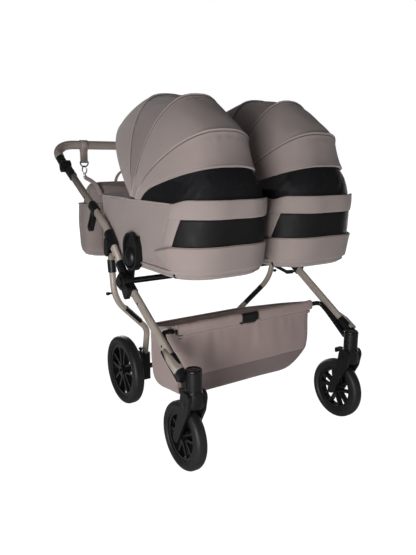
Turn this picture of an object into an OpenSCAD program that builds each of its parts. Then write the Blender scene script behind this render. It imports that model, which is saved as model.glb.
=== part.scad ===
// Side-by-side twin pram: folding frame, two lift-off carrycots with folding
// hoods, swivel casters, adjustable push handle, basket and changing bag.
// Millimetres, +Z up, forward is -Y, origin at the bottom centre of the box.

/* [Wheels] */
// front wheel diameter
front_d = 210; // [190:1:220]
// front tyre width
front_w = 38; // [32:1:40]
// distance between the front swivel axes
front_track = 644; // [640:1:650]
// how far the front axle trails behind the swivel axis
trail = 53; // [46:1:58]
// rear wheel diameter
rear_d = 258; // [240:1:264]
// rear tyre width
rear_w = 42; // [36:1:44]
// distance between the rear wheel centres
rear_track = 530; // [524:1:534]
// distance between the front and rear axles
wheelbase = 528; // [524:1:534]

/* [Frame] */
// distance between the frame tube centre planes
frame_w = 716; // [714:1:720]
// height of frame tubes seen from the side
tube_h = 30; // [26:1:31]
// thickness of frame tubes seen from the front
tube_t = 20; // [17:1:20]
// diameter of the rear leg tubes
leg_d = 22; // [19:1:23]
// diameter of the bar on the fold axis
bar_d = 20; // [17:1:21]

/* [Handle] */
// diameter of the handle tube
handle_d = 24; // [21:1:25]
// diameter over the padded grip
grip_d = 35; // [31:1:36]
// reach of the handle from its joints
handle_reach = 150; // [140:1:155]

/* [Carrycots] */
// distance between the two cot centres
cot_pitch = 361; // [360:1:362]
// width of a cot
cot_w = 316; // [310:1:316]
// thickness of a cot wall
cot_wall = 9; // [7:1:12]
// height of the cot rim above the ground
rim_z = 786; // [782:1:790]
// height of the cot floor above the ground
floor_z = 580; // [576:1:584]
// hood radius from its side studs
hood_r = 340; // [328:1:342]
// thickness of the padded hood cloth
hood_t = 5; // [4:0.5:5.5]

/* [Fits] */
// play between parts that turn on a pin
run = 0.05; // [0.02:0.01:0.08]
// gap between parts that move past one another
gap = 0.5; // [0.4:0.1:0.7]

/* [Hidden] */
$fn = 64;
// stations are measured along Y from the front axle and shifted by y0
jy = 800;
jz = 886;
handle_tilt = 34;
bar_y = jy + handle_reach * cos(handle_tilt);
bar_z = jz + handle_reach * sin(handle_tilt);
// how far the bag reaches behind the push bar
bag_back = 44;
y0 = -(bar_y + bag_back - front_d / 2) / 2;
xt = frame_w / 2;
fx = front_track / 2;
rx = rear_track / 2;
fr = front_d / 2;
rr = rear_d / 2;
stud_y = 276;
stud_z = rim_z + 13;
// fold axis, rear leg pivot and link pin
hy = stud_y + 24;
hz = floor_z - 56;
by = hy + 112;
bz = hz + 82;
ly = hy - 28;
lz = hz - 40;
cx = cot_pitch / 2;
chw = cot_w / 2;
cot_front = -65;
cot_back = 560;
tube_in = xt - tube_t / 2;
hub_in = xt - 13;
hub_mid = xt + 3.5;
hub_out = xt + 21;
up_a = [hy + 24, hz + 36];
up_v = [hy + 140, hz + 164.8];
up_t = [jy - 25, jz - 13.7];
up_d = (up_t - up_v) / norm(up_t - up_v);
low_d = (up_v - up_a) / norm(up_v - up_a);
leg_a = [hy - 38, hz - 24];
leg_b = [37 - trail, 324];
leg_x = xt - 6;
strut_x = 190;
strut_y = wheelbase - 16;
slot_y = hy - 45;
slot_z = floor_z + 20;
lever_c = up_v + 110 * up_d;
// basket: room beside its rods, half width, ends, lowest point and half width at the back
rod_x = leg_x - tube_t / 2 - 6.7;
basket_clear = 51.3;
basket_hw = rod_x - basket_clear;
basket_front = 108;
basket_back = wheelbase - 92;
basket_low = 138;
basket_rear_hw = 196;
basket_wall = 5;
// handle: bend of the tube and where the grip starts beyond the joint
handle_bend = 85;
grip_from = 58;
// swivel crown of the caster fork, and the lock hinge that clears it
crown_d = 56;
lock_y = crown_d / 2 + 4 + 0.8 * gap;
// fold hub: plate on the push tube, cover on the front leg
hub_d = 56;

metal = [0.65, 0.60, 0.56];
dark = [0.13, 0.13, 0.14];
cloth = [0.55, 0.51, 0.49];
rubber = [0.09, 0.09, 0.10];

// right-hand side as drawn, left-hand side mirrored
module side(s) {
    if (s > 0) children();
    else mirror([1, 0, 0]) children();
}

module both() {
    children();
    mirror([1, 0, 0]) children();
}

// flat outline drawn in (station, height), given thickness from x0 to x1
module plate(x0, x1) {
    translate([x0, 0, 0]) rotate([90, 0, 90]) linear_extrude(x1 - x0) children();
}

// pin or disc along X
module pin(y, z, x0, x1, d) {
    translate([x0, y, z]) rotate([0, 90, 0]) cylinder(d = d, h = x1 - x0);
}

module stadium(h, t) {
    square([h - t, t], center = true);
    translate([(h - t) / 2, 0]) circle(d = t);
    translate([-(h - t) / 2, 0]) circle(d = t);
}

// straight flat-oval tube in the plane x
module oval_run(x, p, q, h, t) {
    d = q - p;
    translate([x, 0, 0]) rotate([90, 0, 90]) translate([p[0], p[1], 0])
        rotate([0, 0, atan2(d[1], d[0])]) rotate([90, 0, 90]) linear_extrude(norm(d)) stadium(h, t);
}

// round rod between two points in space
module rod(p, q, d) {
    v = q - p;
    translate(p) rotate([0, acos(v[2] / norm(v)), atan2(v[1], v[0])]) cylinder(d = d, h = norm(v));
}

function unit(v) = v / norm(v);
function turn(p, v, q) = acos(unit(v - p) * unit(q - v));

// where a bend of radius r at point i starts (e = -1) or ends (e = 1)
function bend_end(pts, r, i, e) = i == 0 || i == len(pts) - 1 ? pts[i] :
    pts[i] + e * r[i] * tan(turn(pts[i - 1], pts[i], pts[i + 1]) / 2)
        * unit(e < 0 ? pts[i] - pts[i - 1] : pts[i + 1] - pts[i]);

// points along a route through pts, rounded to radius r[i] at each corner
function rounded(pts, r) = [for (i = [0 : len(pts) - 1])
    each i == 0 || i == len(pts) - 1 ? [pts[i]] :
        let (a = unit(pts[i] - pts[i - 1]), b = unit(pts[i + 1] - pts[i]), w = acos(a * b),
            x = unit(cross(a, cross(a, b))), c = bend_end(pts, r, i, -1) - r[i] * x)
        [for (k = [0 : 5]) c + r[i] * (x * cos(w * k / 5) + a * sin(w * k / 5))]];

function ring(d, n) = [for (k = [0 : n - 1]) d / 2 * [cos(360 * k / n), sin(360 * k / n)]];
function oval(h, t) = [for (k = [0 : 23])
    t / 2 * [cos(15 * k + 7.5), sin(15 * k + 7.5)] + [(k < 6 || k > 17 ? 1 : -1) * (h - t) / 2, 0]];

// section carried along a list of points, ref is any direction the route never takes
module sweep(pts, sec, ref) {
    m = len(pts);
    n = len(sec);
    pos = [for (i = [0 : m - 1])
        let (t = unit(unit(pts[min(i + 1, m - 1)] - pts[i == m - 1 ? m - 2 : i])
                + unit(pts[i == 0 ? 1 : i] - pts[max(i - 1, 0)])),
            u = unit(cross(t, ref)), v = cross(t, u))
        for (k = [0 : n - 1]) pts[i] + u * sec[k][0] + v * sec[k][1]];
    polyhedron(pos, concat([[for (k = [0 : n - 1]) k]],
        [[for (k = [n - 1 : -1 : 0]) (m - 1) * n + k]],
        [for (i = [0 : m - 2], k = [0 : n - 1])
            [i * n + k, (i + 1) * n + k, (i + 1) * n + (k + 1) % n, i * n + (k + 1) % n]]));
}

// link shape between two points of a side view
module bar2(p, q, d) {
    v = q - p;
    translate(p) circle(d = d);
    translate(q) circle(d = d);
    translate(p) rotate([0, 0, atan2(v[1], v[0])]) translate([0, -d / 2]) square([norm(v), d]);
}

// push frame
module push_tube(s) {
    color(metal) side(s) sweep(rounded([[xt, up_a[0], up_a[1]], [xt, up_v[0], up_v[1]],
        [xt, up_t[0], up_t[1]]], [0, 120, 0]), oval(tube_h, tube_t), [1, 0, 0]);
}

module hub_plate() {
    color(dark) difference() {
        union() {
            pin(hy, hz, hub_in, hub_mid - gap / 2, hub_d);
            oval_run(xt, up_a - 30 * low_d, up_a + 26 * low_d, tube_h + 5, tube_t + 4);
        }
        oval_run(xt, up_a - 0.2 * low_d, up_a + 90 * low_d, tube_h + 0.2, tube_t + 0.2);
        pin(hy, hz, hub_mid - gap / 2, xt + 40, hub_d + 6);
        pin(hy, hz, hub_in - 9, hub_mid + 9, 12);
    }
}

module hub_plates() {
    both() hub_plate();
}

module pivot_pins() {
    color(dark) both() {
        pin(hy, hz, hub_in - 6, hub_out - 1, 12);
        pin(by, bz, xt - 17, xt + 17, 10);
    }
}

module cross_bar() {
    color(dark) difference() {
        pin(hy, hz, -hub_in + 6.2, hub_in - 6.2, bar_d);
        pin(hy, hz, -hub_in, hub_in, bar_d - 5);
    }
}

module leg_brackets() {
    color(dark) both() difference() {
        union() {
            oval_run(xt, up_a + 88 * low_d, up_a + 148 * low_d, tube_h + 9, tube_t + 8);
            plate(xt - 17, xt + 17) bar2([by, bz], [by - 2, bz + 34], 30);
        }
        oval_run(xt, up_a, up_v, tube_h + 0.2, tube_t + 0.2);
        plate(xt - 11.5, xt + 11.5) union() {
            bar2([by, bz], [by, bz - 60], 33);
            bar2([by, bz], [by + 40, bz - 40], 33);
        }
        pin(by, bz, xt - 30, xt + 30, 10);
    }
}

// oval face of a cot socket
module socket_oval(d) {
    hull() {
        translate([slot_y + 4, slot_z + 14]) circle(d = d);
        translate([slot_y + 4, slot_z + 40]) circle(d = d);
    }
}

module cot_sockets() {
    x = cx + chw;
    color(dark) both() difference() {
        union() {
            plate(x + 1, hub_in - 0.3) bar2([hy, hz], [slot_y + 22, slot_z + 10], 44);
            plate(x + 1, x + 16) socket_oval(96);
            plate(x + 15, x + 23) difference() {
                socket_oval(94);
                socket_oval(78);
            }
            translate([x + 14, slot_y + 12, slot_z + 8]) scale([0.58, 0.9, 1.1])
                sphere(r = 30, $fn = 40);
        }
        translate([x + 5, slot_y - 38, slot_z]) cube([7, 60, 200]);
        translate([x - 5, slot_y - 26, slot_z]) cube([12, 36, 200]);
        translate([x - 20, 0, 0]) cube([21, 500, 900]);
        pin(hy, hz, 300, 400, 12);
    }
}

module centre_support() {
    color(dark) difference() {
        union() {
            pin(hy, hz, -20, 20, 44);
            plate(-20, 20) bar2([hy, hz], [slot_y + 10, slot_z - 16], 34);
            plate(-(cx - chw) + 1, cx - chw - 1)
                bar2([slot_y - 8, slot_z + 4], [slot_y - 8, slot_z + 46], 78);
        }
        pin(hy, hz, -30, 30, bar_d);
        both() {
            translate([cx - chw - 12, slot_y - 38, slot_z]) cube([7, 60, 200]);
            translate([cx - chw - 7, slot_y - 26, slot_z]) cube([20, 36, 200]);
        }
    }
}

module handle_joint_bases() {
    color(dark) both() difference() {
        union() {
            pin(jy, jz, tube_in - 3, xt + 1 - gap / 2, 46);
            oval_run(xt, up_t - 52 * up_d, up_t + 6 * up_d, tube_h + 6, tube_t + 7);
        }
        oval_run(xt, up_t - 80 * up_d, up_t + 0.2 * up_d, tube_h + 0.2, tube_t + 0.2);
        pin(jy, jz, xt + 1 - gap / 2, xt + 40, 54);
        pin(jy, jz, tube_in - 9, xt + 9, 10);
    }
}

module fold_lever(s) {
    color(dark) side(s) difference() {
        union() {
            oval_run(xt, up_v + 87 * up_d, up_v + 133 * up_d, tube_h + 9, tube_t + 8);
            plate(xt - 7, xt + 7) difference() {
                bar2(lever_c + [9.5, -19.6], lever_c + [41.5, -69.6], 28);
                bar2(lever_c + [19.5, -33.6], lever_c + [38.5, -63.6], 15);
            }
        }
        oval_run(xt, up_v + 40 * up_d, up_v + 200 * up_d, tube_h + 2 * gap, tube_t + 2 * gap);
    }
}

// handle
module handle_u(d, u0) {
    r = min(handle_bend, handle_reach - grip_from - 7);
    x = xt + 6;
    translate([0, jy, jz]) rotate([handle_tilt, 0, 0]) union() {
        translate([-x + r, handle_reach, 0]) rotate([0, 90, 0]) cylinder(d = d, h = 2 * (x - r));
        both() {
            translate([x - r, handle_reach - r, 0]) rotate_extrude(angle = 90)
                translate([r, 0]) circle(d = d);
            translate([x, u0, 0]) rotate([-90, 0, 0]) cylinder(d = d, h = handle_reach - r - u0);
        }
    }
}

module handle_tube() {
    color(metal) handle_u(handle_d, 24.5);
}

module handle_grip() {
    color(cloth) difference() {
        handle_u(grip_d, grip_from);
        handle_u(handle_d + 0.2, 20);
    }
}

module handle_joint_arms() {
    color(dark) both() difference() {
        union() {
            pin(jy, jz, xt + 1 + gap / 2, xt + 20, 46);
            translate([xt + 6, jy, jz]) rotate([handle_tilt, 0, 0]) translate([0, 21, 0])
                rotate([-90, 0, 0]) cylinder(d = handle_d + 9, h = 34);
            pin(jy, jz, tube_in + 0.5, xt + 9, 10 - 2 * run);
        }
        handle_u(handle_d, 24.5);
        pin(jy, jz, tube_in - 4, xt + 1 + gap / 2, 10 - 2 * run + 60);
        pin(jy, jz, xt + 14, xt + 30, 26);
    }
    color(dark) both() pin(jy, jz, tube_in - 2, xt + 1 + gap / 2, 10 - 2 * run);
}

module handle_button(s) {
    color(dark) side(s) pin(jy, jz, xt + 18.5, xt + 23.5, 26 - 2 * gap);
}

// changing bag on the handle
module bag_body() {
    color(cloth) difference() {
        union() {
            hull() for (s = [-1, 1], y = [-50, bag_back - 32]) translate([0, bar_y + y, 0]) {
                translate([s * 240, 0, 544]) sphere(r = 32, $fn = 24);
                translate([s * 256, 0, 650]) sphere(r = 32, $fn = 24);
                translate([s * 226, 0, 796]) sphere(r = 26, $fn = 24);
            }
            both() hull() for (y = [-44, 4], z = [590, 668]) translate([276, bar_y + y, z])
                sphere(r = 16, $fn = 24);
        }
        translate([-212, bar_y - 54, 590]) cube([424, 70, 260]);
    }
}

module bag_straps() {
    color(cloth) both() translate([222, bar_y, bar_z]) rotate([90, 0, 90]) linear_extrude(30)
        difference() {
            union() {
                circle(d = grip_d + 6);
                translate([-3, -70]) square([6, 60]);
            }
            circle(d = grip_d + 0.6);
        }
}

module bag_rings() {
    color(metal) both() {
        translate([237, bar_y, bar_z - 81.8]) rotate([90, 0, 0])
            rotate_extrude() translate([10, 0]) circle(d = 3.2);
        rod([237, bar_y, bar_z - 93.6], [237, bar_y, 820.2], 6);
    }
}

// front legs
module front_leg(s) {
    color(metal) side(s) oval_run(leg_x, leg_a, leg_b, tube_h, tube_t);
}

module hub_covers() {
    color(dark) both() difference() {
        union() {
            pin(hy, hz, hub_mid + gap / 2, hub_out - 3, hub_d);
            translate([hub_out - 3.1, hy, hz]) rotate([0, 90, 0])
                cylinder(d1 = hub_d, d2 = hub_d - 8, h = 3.1);
            pin(hy, hz, hub_out - 1, hub_out + 5, hub_d - 20);
            plate(hub_mid + gap / 2, hub_out - 3) bar2([hy, hz], [ly, lz], 24);
            pin(ly, lz, hub_in - 12, hub_mid + 2, 8);
            oval_run(leg_x, leg_a + [20, 12.6], leg_a - [10, 6.3], tube_h + 5, tube_t + 6);
            plate(leg_x + 2, hub_out - 3) bar2([hy, hz], leg_a + [2, 1.3], 30);
        }
        oval_run(leg_x, leg_a, leg_b, tube_h, tube_t);
        pin(hy, hz, hub_in - 30, hub_mid + gap / 2, hub_d + 3);
        pin(hy, hz, hub_in - 9, hub_out - 0.5, 12 + 2 * run);
    }
}

module caster_heads() {
    color(dark) both() difference() {
        union() {
            translate([fx, -trail, 270]) cylinder(d = 48, h = 57);
            oval_run(leg_x - 2, [24, 349.3], [-46, 305], tube_h + 6, tube_t + 8);
            translate([fx, -trail, 276]) cube([26, 26, 40]);
            plate(leg_x - 8, leg_x + 8) bar2([64, 352], [-24, 296], 12);
        }
        oval_run(leg_x, leg_a, leg_b, tube_h, tube_t);
        translate([fx, -trail, 260]) cylinder(d = 16, h = 54);
        translate([fx, -trail, 200]) cylinder(d = 60, h = 70);
    }
}

module basket_rods() {
    color(dark) both() sweep(rounded([[rod_x, 30, 344], [rod_x, 112, 396],
        [basket_hw + 3, 124, 388]], [0, 24, 0]), ring(13, 16), [0, -0.5, 0.86]);
}

module fold_links() {
    color(dark) both() difference() {
        plate(hub_in - 11.5, hub_in - 6.5) union() {
            bar2([ly, lz], [hy, lz - 6], 15);
            bar2([hy, lz - 6], [by - 4, bz - 106], 12);
        }
        pin(ly, lz, hub_in - 20, hub_in, 8 + 2 * run);
    }
}

// casters
module fork_arm() {
    hull() {
        translate([-trail, 246]) circle(d = 48);
        translate([-trail + 6, 212]) circle(d = 46);
    }
    hull() {
        translate([-trail + 6, 212]) circle(d = 46);
        translate([-trail / 2, 164]) circle(d = 36);
    }
    hull() {
        translate([-trail / 2, 164]) circle(d = 36);
        translate([0, fr]) circle(d = 28);
    }
}

module caster_fork(s) {
    hw = front_w / 2 + 4;
    color(dark) side(s) translate([fx, 0, 0]) difference() {
        union() {
            translate([0, -trail, 236]) cylinder(d = crown_d, h = 26);
            translate([0, -trail, 261]) cylinder(d1 = crown_d, d2 = 48, h = 8.5);
            translate([0, -trail, 238]) cylinder(d = 16 - 2 * run, h = 75);
            both() plate(hw, hw + 9) intersection() {
                fork_arm();
                translate([-200, 0]) square([400, 266]);
            }
            translate([-hw - 4, -trail - 22, 240]) cube([2 * hw + 8, 44, 21]);
            pin(0, fr, -hw - 9, hw + 9, 10);
        }
        pin(0, fr, -hw, hw, 2 * fr + 12);
    }
    color(dark) side(s) pin(0, fr, fx - hw - 1, fx + hw + 1, 10);
}

module swivel_lock(s) {
    color(dark) side(s) translate([fx, -trail, 0]) union() {
        pin(lock_y, 253, -14, 14, 8);
        translate([-14, lock_y, 249.5]) cube([28, 26, 7]);
        translate([-14, lock_y + 19, 241]) cube([28, 7, 12]);
    }
}

// wheels: tyre profile, rim with five pairs of spokes
module tyre(r, w, inner) {
    rotate([0, 90, 0]) rotate_extrude() union() {
        translate([inner, -w / 2 + 5]) square([r - inner - 14, w - 10]);
        translate([r - 14, -w / 2 + 14]) square([14, w - 28]);
        translate([r - 14, w / 2 - 14]) circle(r = 14);
        translate([r - 14, -w / 2 + 14]) circle(r = 14);
    }
}

module spokes(r) {
    for (i = [0 : 4], k = [-1, 1]) rotate([0, 0, i * 72]) translate([k * 7, 0])
        rotate([0, 0, -k * 9]) translate([-4, 6]) square([8, r - 13]);
}

module rim(r, w) {
    difference() {
        union() {
            difference() {
                pin(0, 0, -w / 2 + 7, w / 2 - 7, 2 * r - 0.4);
                pin(0, 0, -w / 2, w / 2, 2 * r - 22);
            }
            pin(0, 0, -w / 2 + 2, w / 2 - 2, 34);
            plate(-w / 2 + 10, w / 2 - 10) spokes(r);
        }
        pin(0, 0, -100, 100, 10 + 2 * run);
    }
}

module front_tyre(s) {
    color(rubber) side(s) translate([fx, 0, fr]) tyre(fr, front_w, fr - 29);
}

module front_rim(s) {
    color(dark) side(s) translate([fx, 0, fr]) rim(fr - 29, front_w);
}

module rear_tyre(s) {
    color(rubber) side(s) translate([rx, wheelbase, rr]) tyre(rr, rear_w, rr - 30);
}

module rear_rim(s) {
    color(dark) side(s) translate([rx, wheelbase, rr]) rim(rr - 30, rear_w);
}

// rear legs
leg_pts = [[xt - 1, by, bz - 4], [xt - 9, by, bz - 168], [strut_x + 15, strut_y - 57, 300],
    [strut_x, strut_y - 8, 190]];
leg_r = [0, 130, 85, 0];

module rear_leg(s) {
    color(metal) side(s) difference() {
        union() {
            sweep(rounded(leg_pts, leg_r), ring(leg_d, 20), [0, 1, 0]);
            pin(by, bz, xt - 11, xt + 11, 28);
        }
        pin(by, bz, xt - 30, xt + 30, 10 + 2 * run);
        pin(by, bz, xt - 30, xt - 11, 60);
        pin(by, bz, xt + 11, xt + 30, 60);
    }
}

// point on the slanted run of the rear leg
function slant(k) = leg_pts[1] + k * (leg_pts[2] - leg_pts[1]);
function upright(k) = leg_pts[0] + k * (leg_pts[1] - leg_pts[0]);

module leg_sleeves() {
    color(dark) both() difference() {
        union() {
            rod(upright(0.14), upright(0.40), leg_d + 7);
            // pad along the upper side of the slanted run
            translate([3, -5, 7]) rod(slant(0.32), slant(0.78), leg_d - 2);
        }
        rod(upright(0), upright(0.6), leg_d + 0.1);
        rod(slant(0.2), slant(0.9), leg_d + 0.1);
    }
}

module rear_struts() {
    color(dark) both() difference() {
        union() {
            translate([strut_x - 15, strut_y - 18, rr - 46]) cube([30, 40, 108]);
            pin(wheelbase, rr, strut_x, rx - rear_w / 2 + 1, 26);
            pin(wheelbase, rr, strut_x, rx + rear_w / 2 + 3, 10);
        }
        rod(leg_pts[3] - 0.1 * unit(leg_pts[2] - leg_pts[3]),
            leg_pts[3] + 0.4 * (leg_pts[2] - leg_pts[3]), leg_d + 0.1);
        pin(strut_y, rr, 0, strut_x - 5, 20);
        translate([strut_x + 8, strut_y + 14, rr + 40]) cylinder(d = 9, h = 60);
    }
}

module rear_axle() {
    color(dark) pin(strut_y, rr, -strut_x + 5, strut_x - 5, 20);
}

module wheel_release(s) {
    color(dark) side(s) translate([strut_x + 8, strut_y + 14, 0]) union() {
        translate([0, 0, rr + 44]) cylinder(d = 9 - 2 * run, h = 26);
        translate([0, 0, rr + 68]) cylinder(d = 16, h = 8);
    }
}

module brake_pedal() {
    color(dark) difference() {
        union() {
            pin(strut_y, rr, -34, 34, 34);
            translate([-34, strut_y + 8, rr - 6]) cube([68, 60, 9]);
        }
        pin(strut_y, rr, -40, 40, 20 + 2 * run);
    }
}

// basket: trough with a rolled front hem, end panels that lean in towards the back
module basket_section(t) {
    f = basket_front + t;
    k = basket_back - t;
    low = basket_low + t;
    polygon([[f, 460], [f, low + 100], [f + 28, low + 52], [f + 50, low + 20], [f + 92, low],
        [k - 62, low], [k - 22, low + 14], [k - 6, low + 40], [k, low + 100], [k, 460]]);
}

module basket_plan(t) {
    w = basket_hw - t;
    r = basket_rear_hw - t;
    polygon([[-w, 90], [w, 90], [w, 270], [r, basket_back + 1], [-r, basket_back + 1], [-w, 270]]);
}

module basket_front_view(t) {
    w = basket_hw - t;
    low = basket_low + t;
    polygon([[-w, 470], [-w, 240], [-w + 6, low + 46], [-w + 26, low + 12], [-w + 66, low - 1],
        [w - 66, low - 1], [w - 26, low + 12], [w - 6, low + 46], [w, 240], [w, 470]]);
}

module basket_form(t) {
    intersection() {
        plate(-basket_hw, basket_hw) basket_section(t);
        translate([0, 0, 100]) linear_extrude(400) basket_plan(t);
        translate([0, 600, 0]) rotate([90, 0, 0]) linear_extrude(560) basket_front_view(t);
    }
}

module basket() {
    color(cloth) difference() {
        union() {
            basket_form(0);
            pin(basket_front + 2, 392, -basket_hw, basket_hw, 16);
        }
        basket_form(basket_wall);
        plate(-basket_hw - 1, basket_hw + 1) polygon([[basket_front - 20, 500],
            [basket_front - 20, 402], [basket_front + 12, 402], [basket_back + 20, 314],
            [basket_back + 20, 500]]);
    }
}

// carrycots: plan outline with rounded ends
module plan(y1, y2, hw, r1, r2) {
    translate([-hw, y1 + r1]) square([2 * hw, y2 - y1 - r1 - r2]);
    translate([-hw + r1, y1]) square([2 * (hw - r1), y2 - y1]);
    for (s = [-1, 1]) {
        translate([s * (hw - r1), y1 + r1]) circle(r = r1);
        translate([s * (hw - r2), y2 - r2]) circle(r = r2);
    }
    translate([-hw + r2, y2 - r2]) square([2 * (hw - r2), r2]);
}

module cot_solid(i, z1, z2) {
    hull() {
        translate([0, 0, z2 - 1]) linear_extrude(1)
            plan(cot_front + i, cot_back - i, chw - i, 120 - i, 90 - i, $fn = 40);
        translate([0, 0, z1]) linear_extrude(1)
            plan(cot_front + 22 + i, cot_back - 60 - i, chw - i, 120 - i, 90 - i, $fn = 40);
    }
}

module cot_tub(s) {
    color(cloth) translate([s * cx, 0, 0]) {
        difference() {
            cot_solid(0, floor_z, rim_z);
            cot_solid(cot_wall, floor_z + 14, rim_z + 30);
        }
        both() pin(stud_y, stud_z, chw - 22, chw + 3, 8);
        both() plate(chw - 4, chw - 0.1) bar2([stud_y, stud_z], [stud_y, rim_z - 6], 22);
    }
}

module cot_cover(s) {
    color(cloth) translate([s * cx, 0, 0]) intersection() {
        translate([0, 0, rim_z + 0.2]) linear_extrude(9)
            plan(cot_front + 2, cot_back - 2, chw - 2, 118, 88);
        translate([-200, stud_y + 34, 0]) cube([400, 400, 900]);
    }
}

module cot_mattress(s) {
    color([0.9, 0.9, 0.88]) translate([s * cx, 0, floor_z + 14.2]) linear_extrude(36)
        plan(cot_front + 40, cot_back - 80, chw - 18, 104, 74);
}

module cot_adapters(s) {
    color(dark) translate([s * cx, 0, 0]) both() {
        translate([chw + 5 + gap, slot_y - 38 + gap, slot_z + gap]) cube([7 - 2 * gap, 60 - 2 * gap, 78]);
        translate([chw + 0.05, slot_y - 26 + gap, slot_z + gap]) cube([9, 36 - 2 * gap, 78]);
    }
}

// hood gores: arch section turned about the stud axis between two angles
function arch(t, w, r) = [
    w * pow(abs(cos(t)), 0.68) * (cos(t) < 0 ? -1 : 1),
    r * pow(abs(sin(t)), 0.68)];

module gore(w, r, t, a1, a2) {
    translate([0, stud_y, stud_z]) rotate([90, 0, 90]) rotate([0, 0, 180 - a2])
        rotate_extrude(angle = a2 - a1) polygon(concat(
            [for (q = [-85 : 10 : 85]) let (p = arch(90 + q, w, r)) [p[1], p[0]]],
            [for (q = [85 : -10 : -85]) let (p = arch(90 + q, w - t, r - t)) [p[1], p[0]]]));
}

module lugs(w, t, a1, a2) {
    both() difference() {
        plate(w - t, w) union() {
            translate([stud_y, stud_z]) circle(d = 22);
            for (a = [a1, a2]) bar2([stud_y, stud_z],
                [stud_y - 70 * cos(a), stud_z + 70 * sin(a)], 10);
        }
        pin(stud_y, stud_z, 0, 300, 8 + 2 * run);
    }
}

module hood_head(s) {
    color(cloth) translate([s * cx, 0, 0]) {
        gore(chw - 4.2, hood_r, hood_t, 20, 63);
        lugs(chw - 4.2, hood_t, 30, 52);
    }
    color(dark) translate([s * cx, 0, 0]) difference() {
        gore(chw - 5.2, hood_r - 2, 2, -4, 19.8);
        translate([-200, -200, rim_z - 99.8]) cube([400, 700, 100]);
    }
}

module hood_mid(s) {
    color(cloth) translate([s * cx, 0, 0]) {
        gore(chw - 10, hood_r - 14, hood_t, 60, 98);
        lugs(chw - 10.5, hood_t, 66, 92);
    }
}

module hood_brim(s) {
    color(cloth) translate([s * cx, 0, 0]) {
        gore(chw - 16, hood_r - 22, hood_t, 95, 124);
        lugs(chw - 16.5, hood_t, 101, 118);
    }
}

// stations moved so that the box is centred
module placed() {
    translate([0, y0, 0]) children();
}

placed() push_tube(-1);  // push_tube_left
placed() push_tube(1);  // push_tube_right
placed() hub_plates();
placed() pivot_pins();
placed() handle_joint_bases();
placed() leg_brackets();
placed() cross_bar();
placed() centre_support();
placed() cot_sockets();
placed() fold_lever(-1);  // fold_lever_left
placed() fold_lever(1);  // fold_lever_right
placed() handle_tube();
placed() handle_grip();
placed() handle_joint_arms();
placed() handle_button(-1);  // handle_button_left
placed() handle_button(1);  // handle_button_right
placed() bag_body();
placed() bag_straps();
placed() bag_rings();
placed() front_leg(-1);  // front_leg_left
placed() front_leg(1);  // front_leg_right
placed() hub_covers();
placed() caster_heads();
placed() basket_rods();
placed() fold_links();
placed() caster_fork(-1);  // caster_fork_left
placed() caster_fork(1);  // caster_fork_right
placed() front_tyre(-1);  // front_tyre_left
placed() front_tyre(1);  // front_tyre_right
placed() front_rim(-1);  // front_rim_left
placed() front_rim(1);  // front_rim_right
placed() swivel_lock(-1);  // swivel_lock_left
placed() swivel_lock(1);  // swivel_lock_right
placed() rear_leg(-1);  // rear_leg_left
placed() rear_leg(1);  // rear_leg_right
placed() leg_sleeves();
placed() rear_axle();
placed() rear_struts();
placed() basket();
placed() brake_pedal();
placed() wheel_release(-1);  // wheel_release_left
placed() wheel_release(1);  // wheel_release_right
placed() rear_tyre(-1);  // rear_tyre_left
placed() rear_tyre(1);  // rear_tyre_right
placed() rear_rim(-1);  // rear_rim_left
placed() rear_rim(1);  // rear_rim_right
placed() cot_tub(-1);  // cot_tub_left
placed() cot_tub(1);  // cot_tub_right
placed() cot_cover(-1);  // cot_cover_left
placed() cot_cover(1);  // cot_cover_right
placed() cot_mattress(-1);  // cot_mattress_left
placed() cot_mattress(1);  // cot_mattress_right
placed() cot_adapters(-1);  // cot_adapters_left
placed() cot_adapters(1);  // cot_adapters_right
placed() hood_head(-1);  // hood_head_left
placed() hood_head(1);  // hood_head_right
placed() hood_mid(-1);  // hood_mid_left
placed() hood_mid(1);  // hood_mid_right
placed() hood_brim(-1);  // hood_brim_left
placed() hood_brim(1);  // hood_brim_right
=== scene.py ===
"""Twin pram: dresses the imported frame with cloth, tubes, trim and a studio."""

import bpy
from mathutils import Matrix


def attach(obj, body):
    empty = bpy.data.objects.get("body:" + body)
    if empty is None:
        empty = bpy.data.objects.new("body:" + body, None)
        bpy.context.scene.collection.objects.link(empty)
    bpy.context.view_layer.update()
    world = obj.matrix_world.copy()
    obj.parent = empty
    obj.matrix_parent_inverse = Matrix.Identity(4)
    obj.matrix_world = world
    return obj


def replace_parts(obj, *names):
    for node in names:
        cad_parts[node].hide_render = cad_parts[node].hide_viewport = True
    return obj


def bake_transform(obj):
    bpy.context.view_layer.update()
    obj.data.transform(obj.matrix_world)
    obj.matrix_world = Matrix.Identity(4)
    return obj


bl_info = {
    "name": "Twin Pram",
    "version": (1, 0, 0),
    "blender": (4, 5, 0),
    "location": "View3D > Sidebar > Pram",
    "description": "Cloth, tubes, trim and studio for a side-by-side twin pram",
    "category": "Object",
}

from math import acos, copysign, cos, exp, pi, radians, sin, sqrt, tan

import bmesh
import bpy
from bpy.props import FloatProperty, FloatVectorProperty, IntProperty, PointerProperty
from mathutils import Vector, noise

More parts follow.
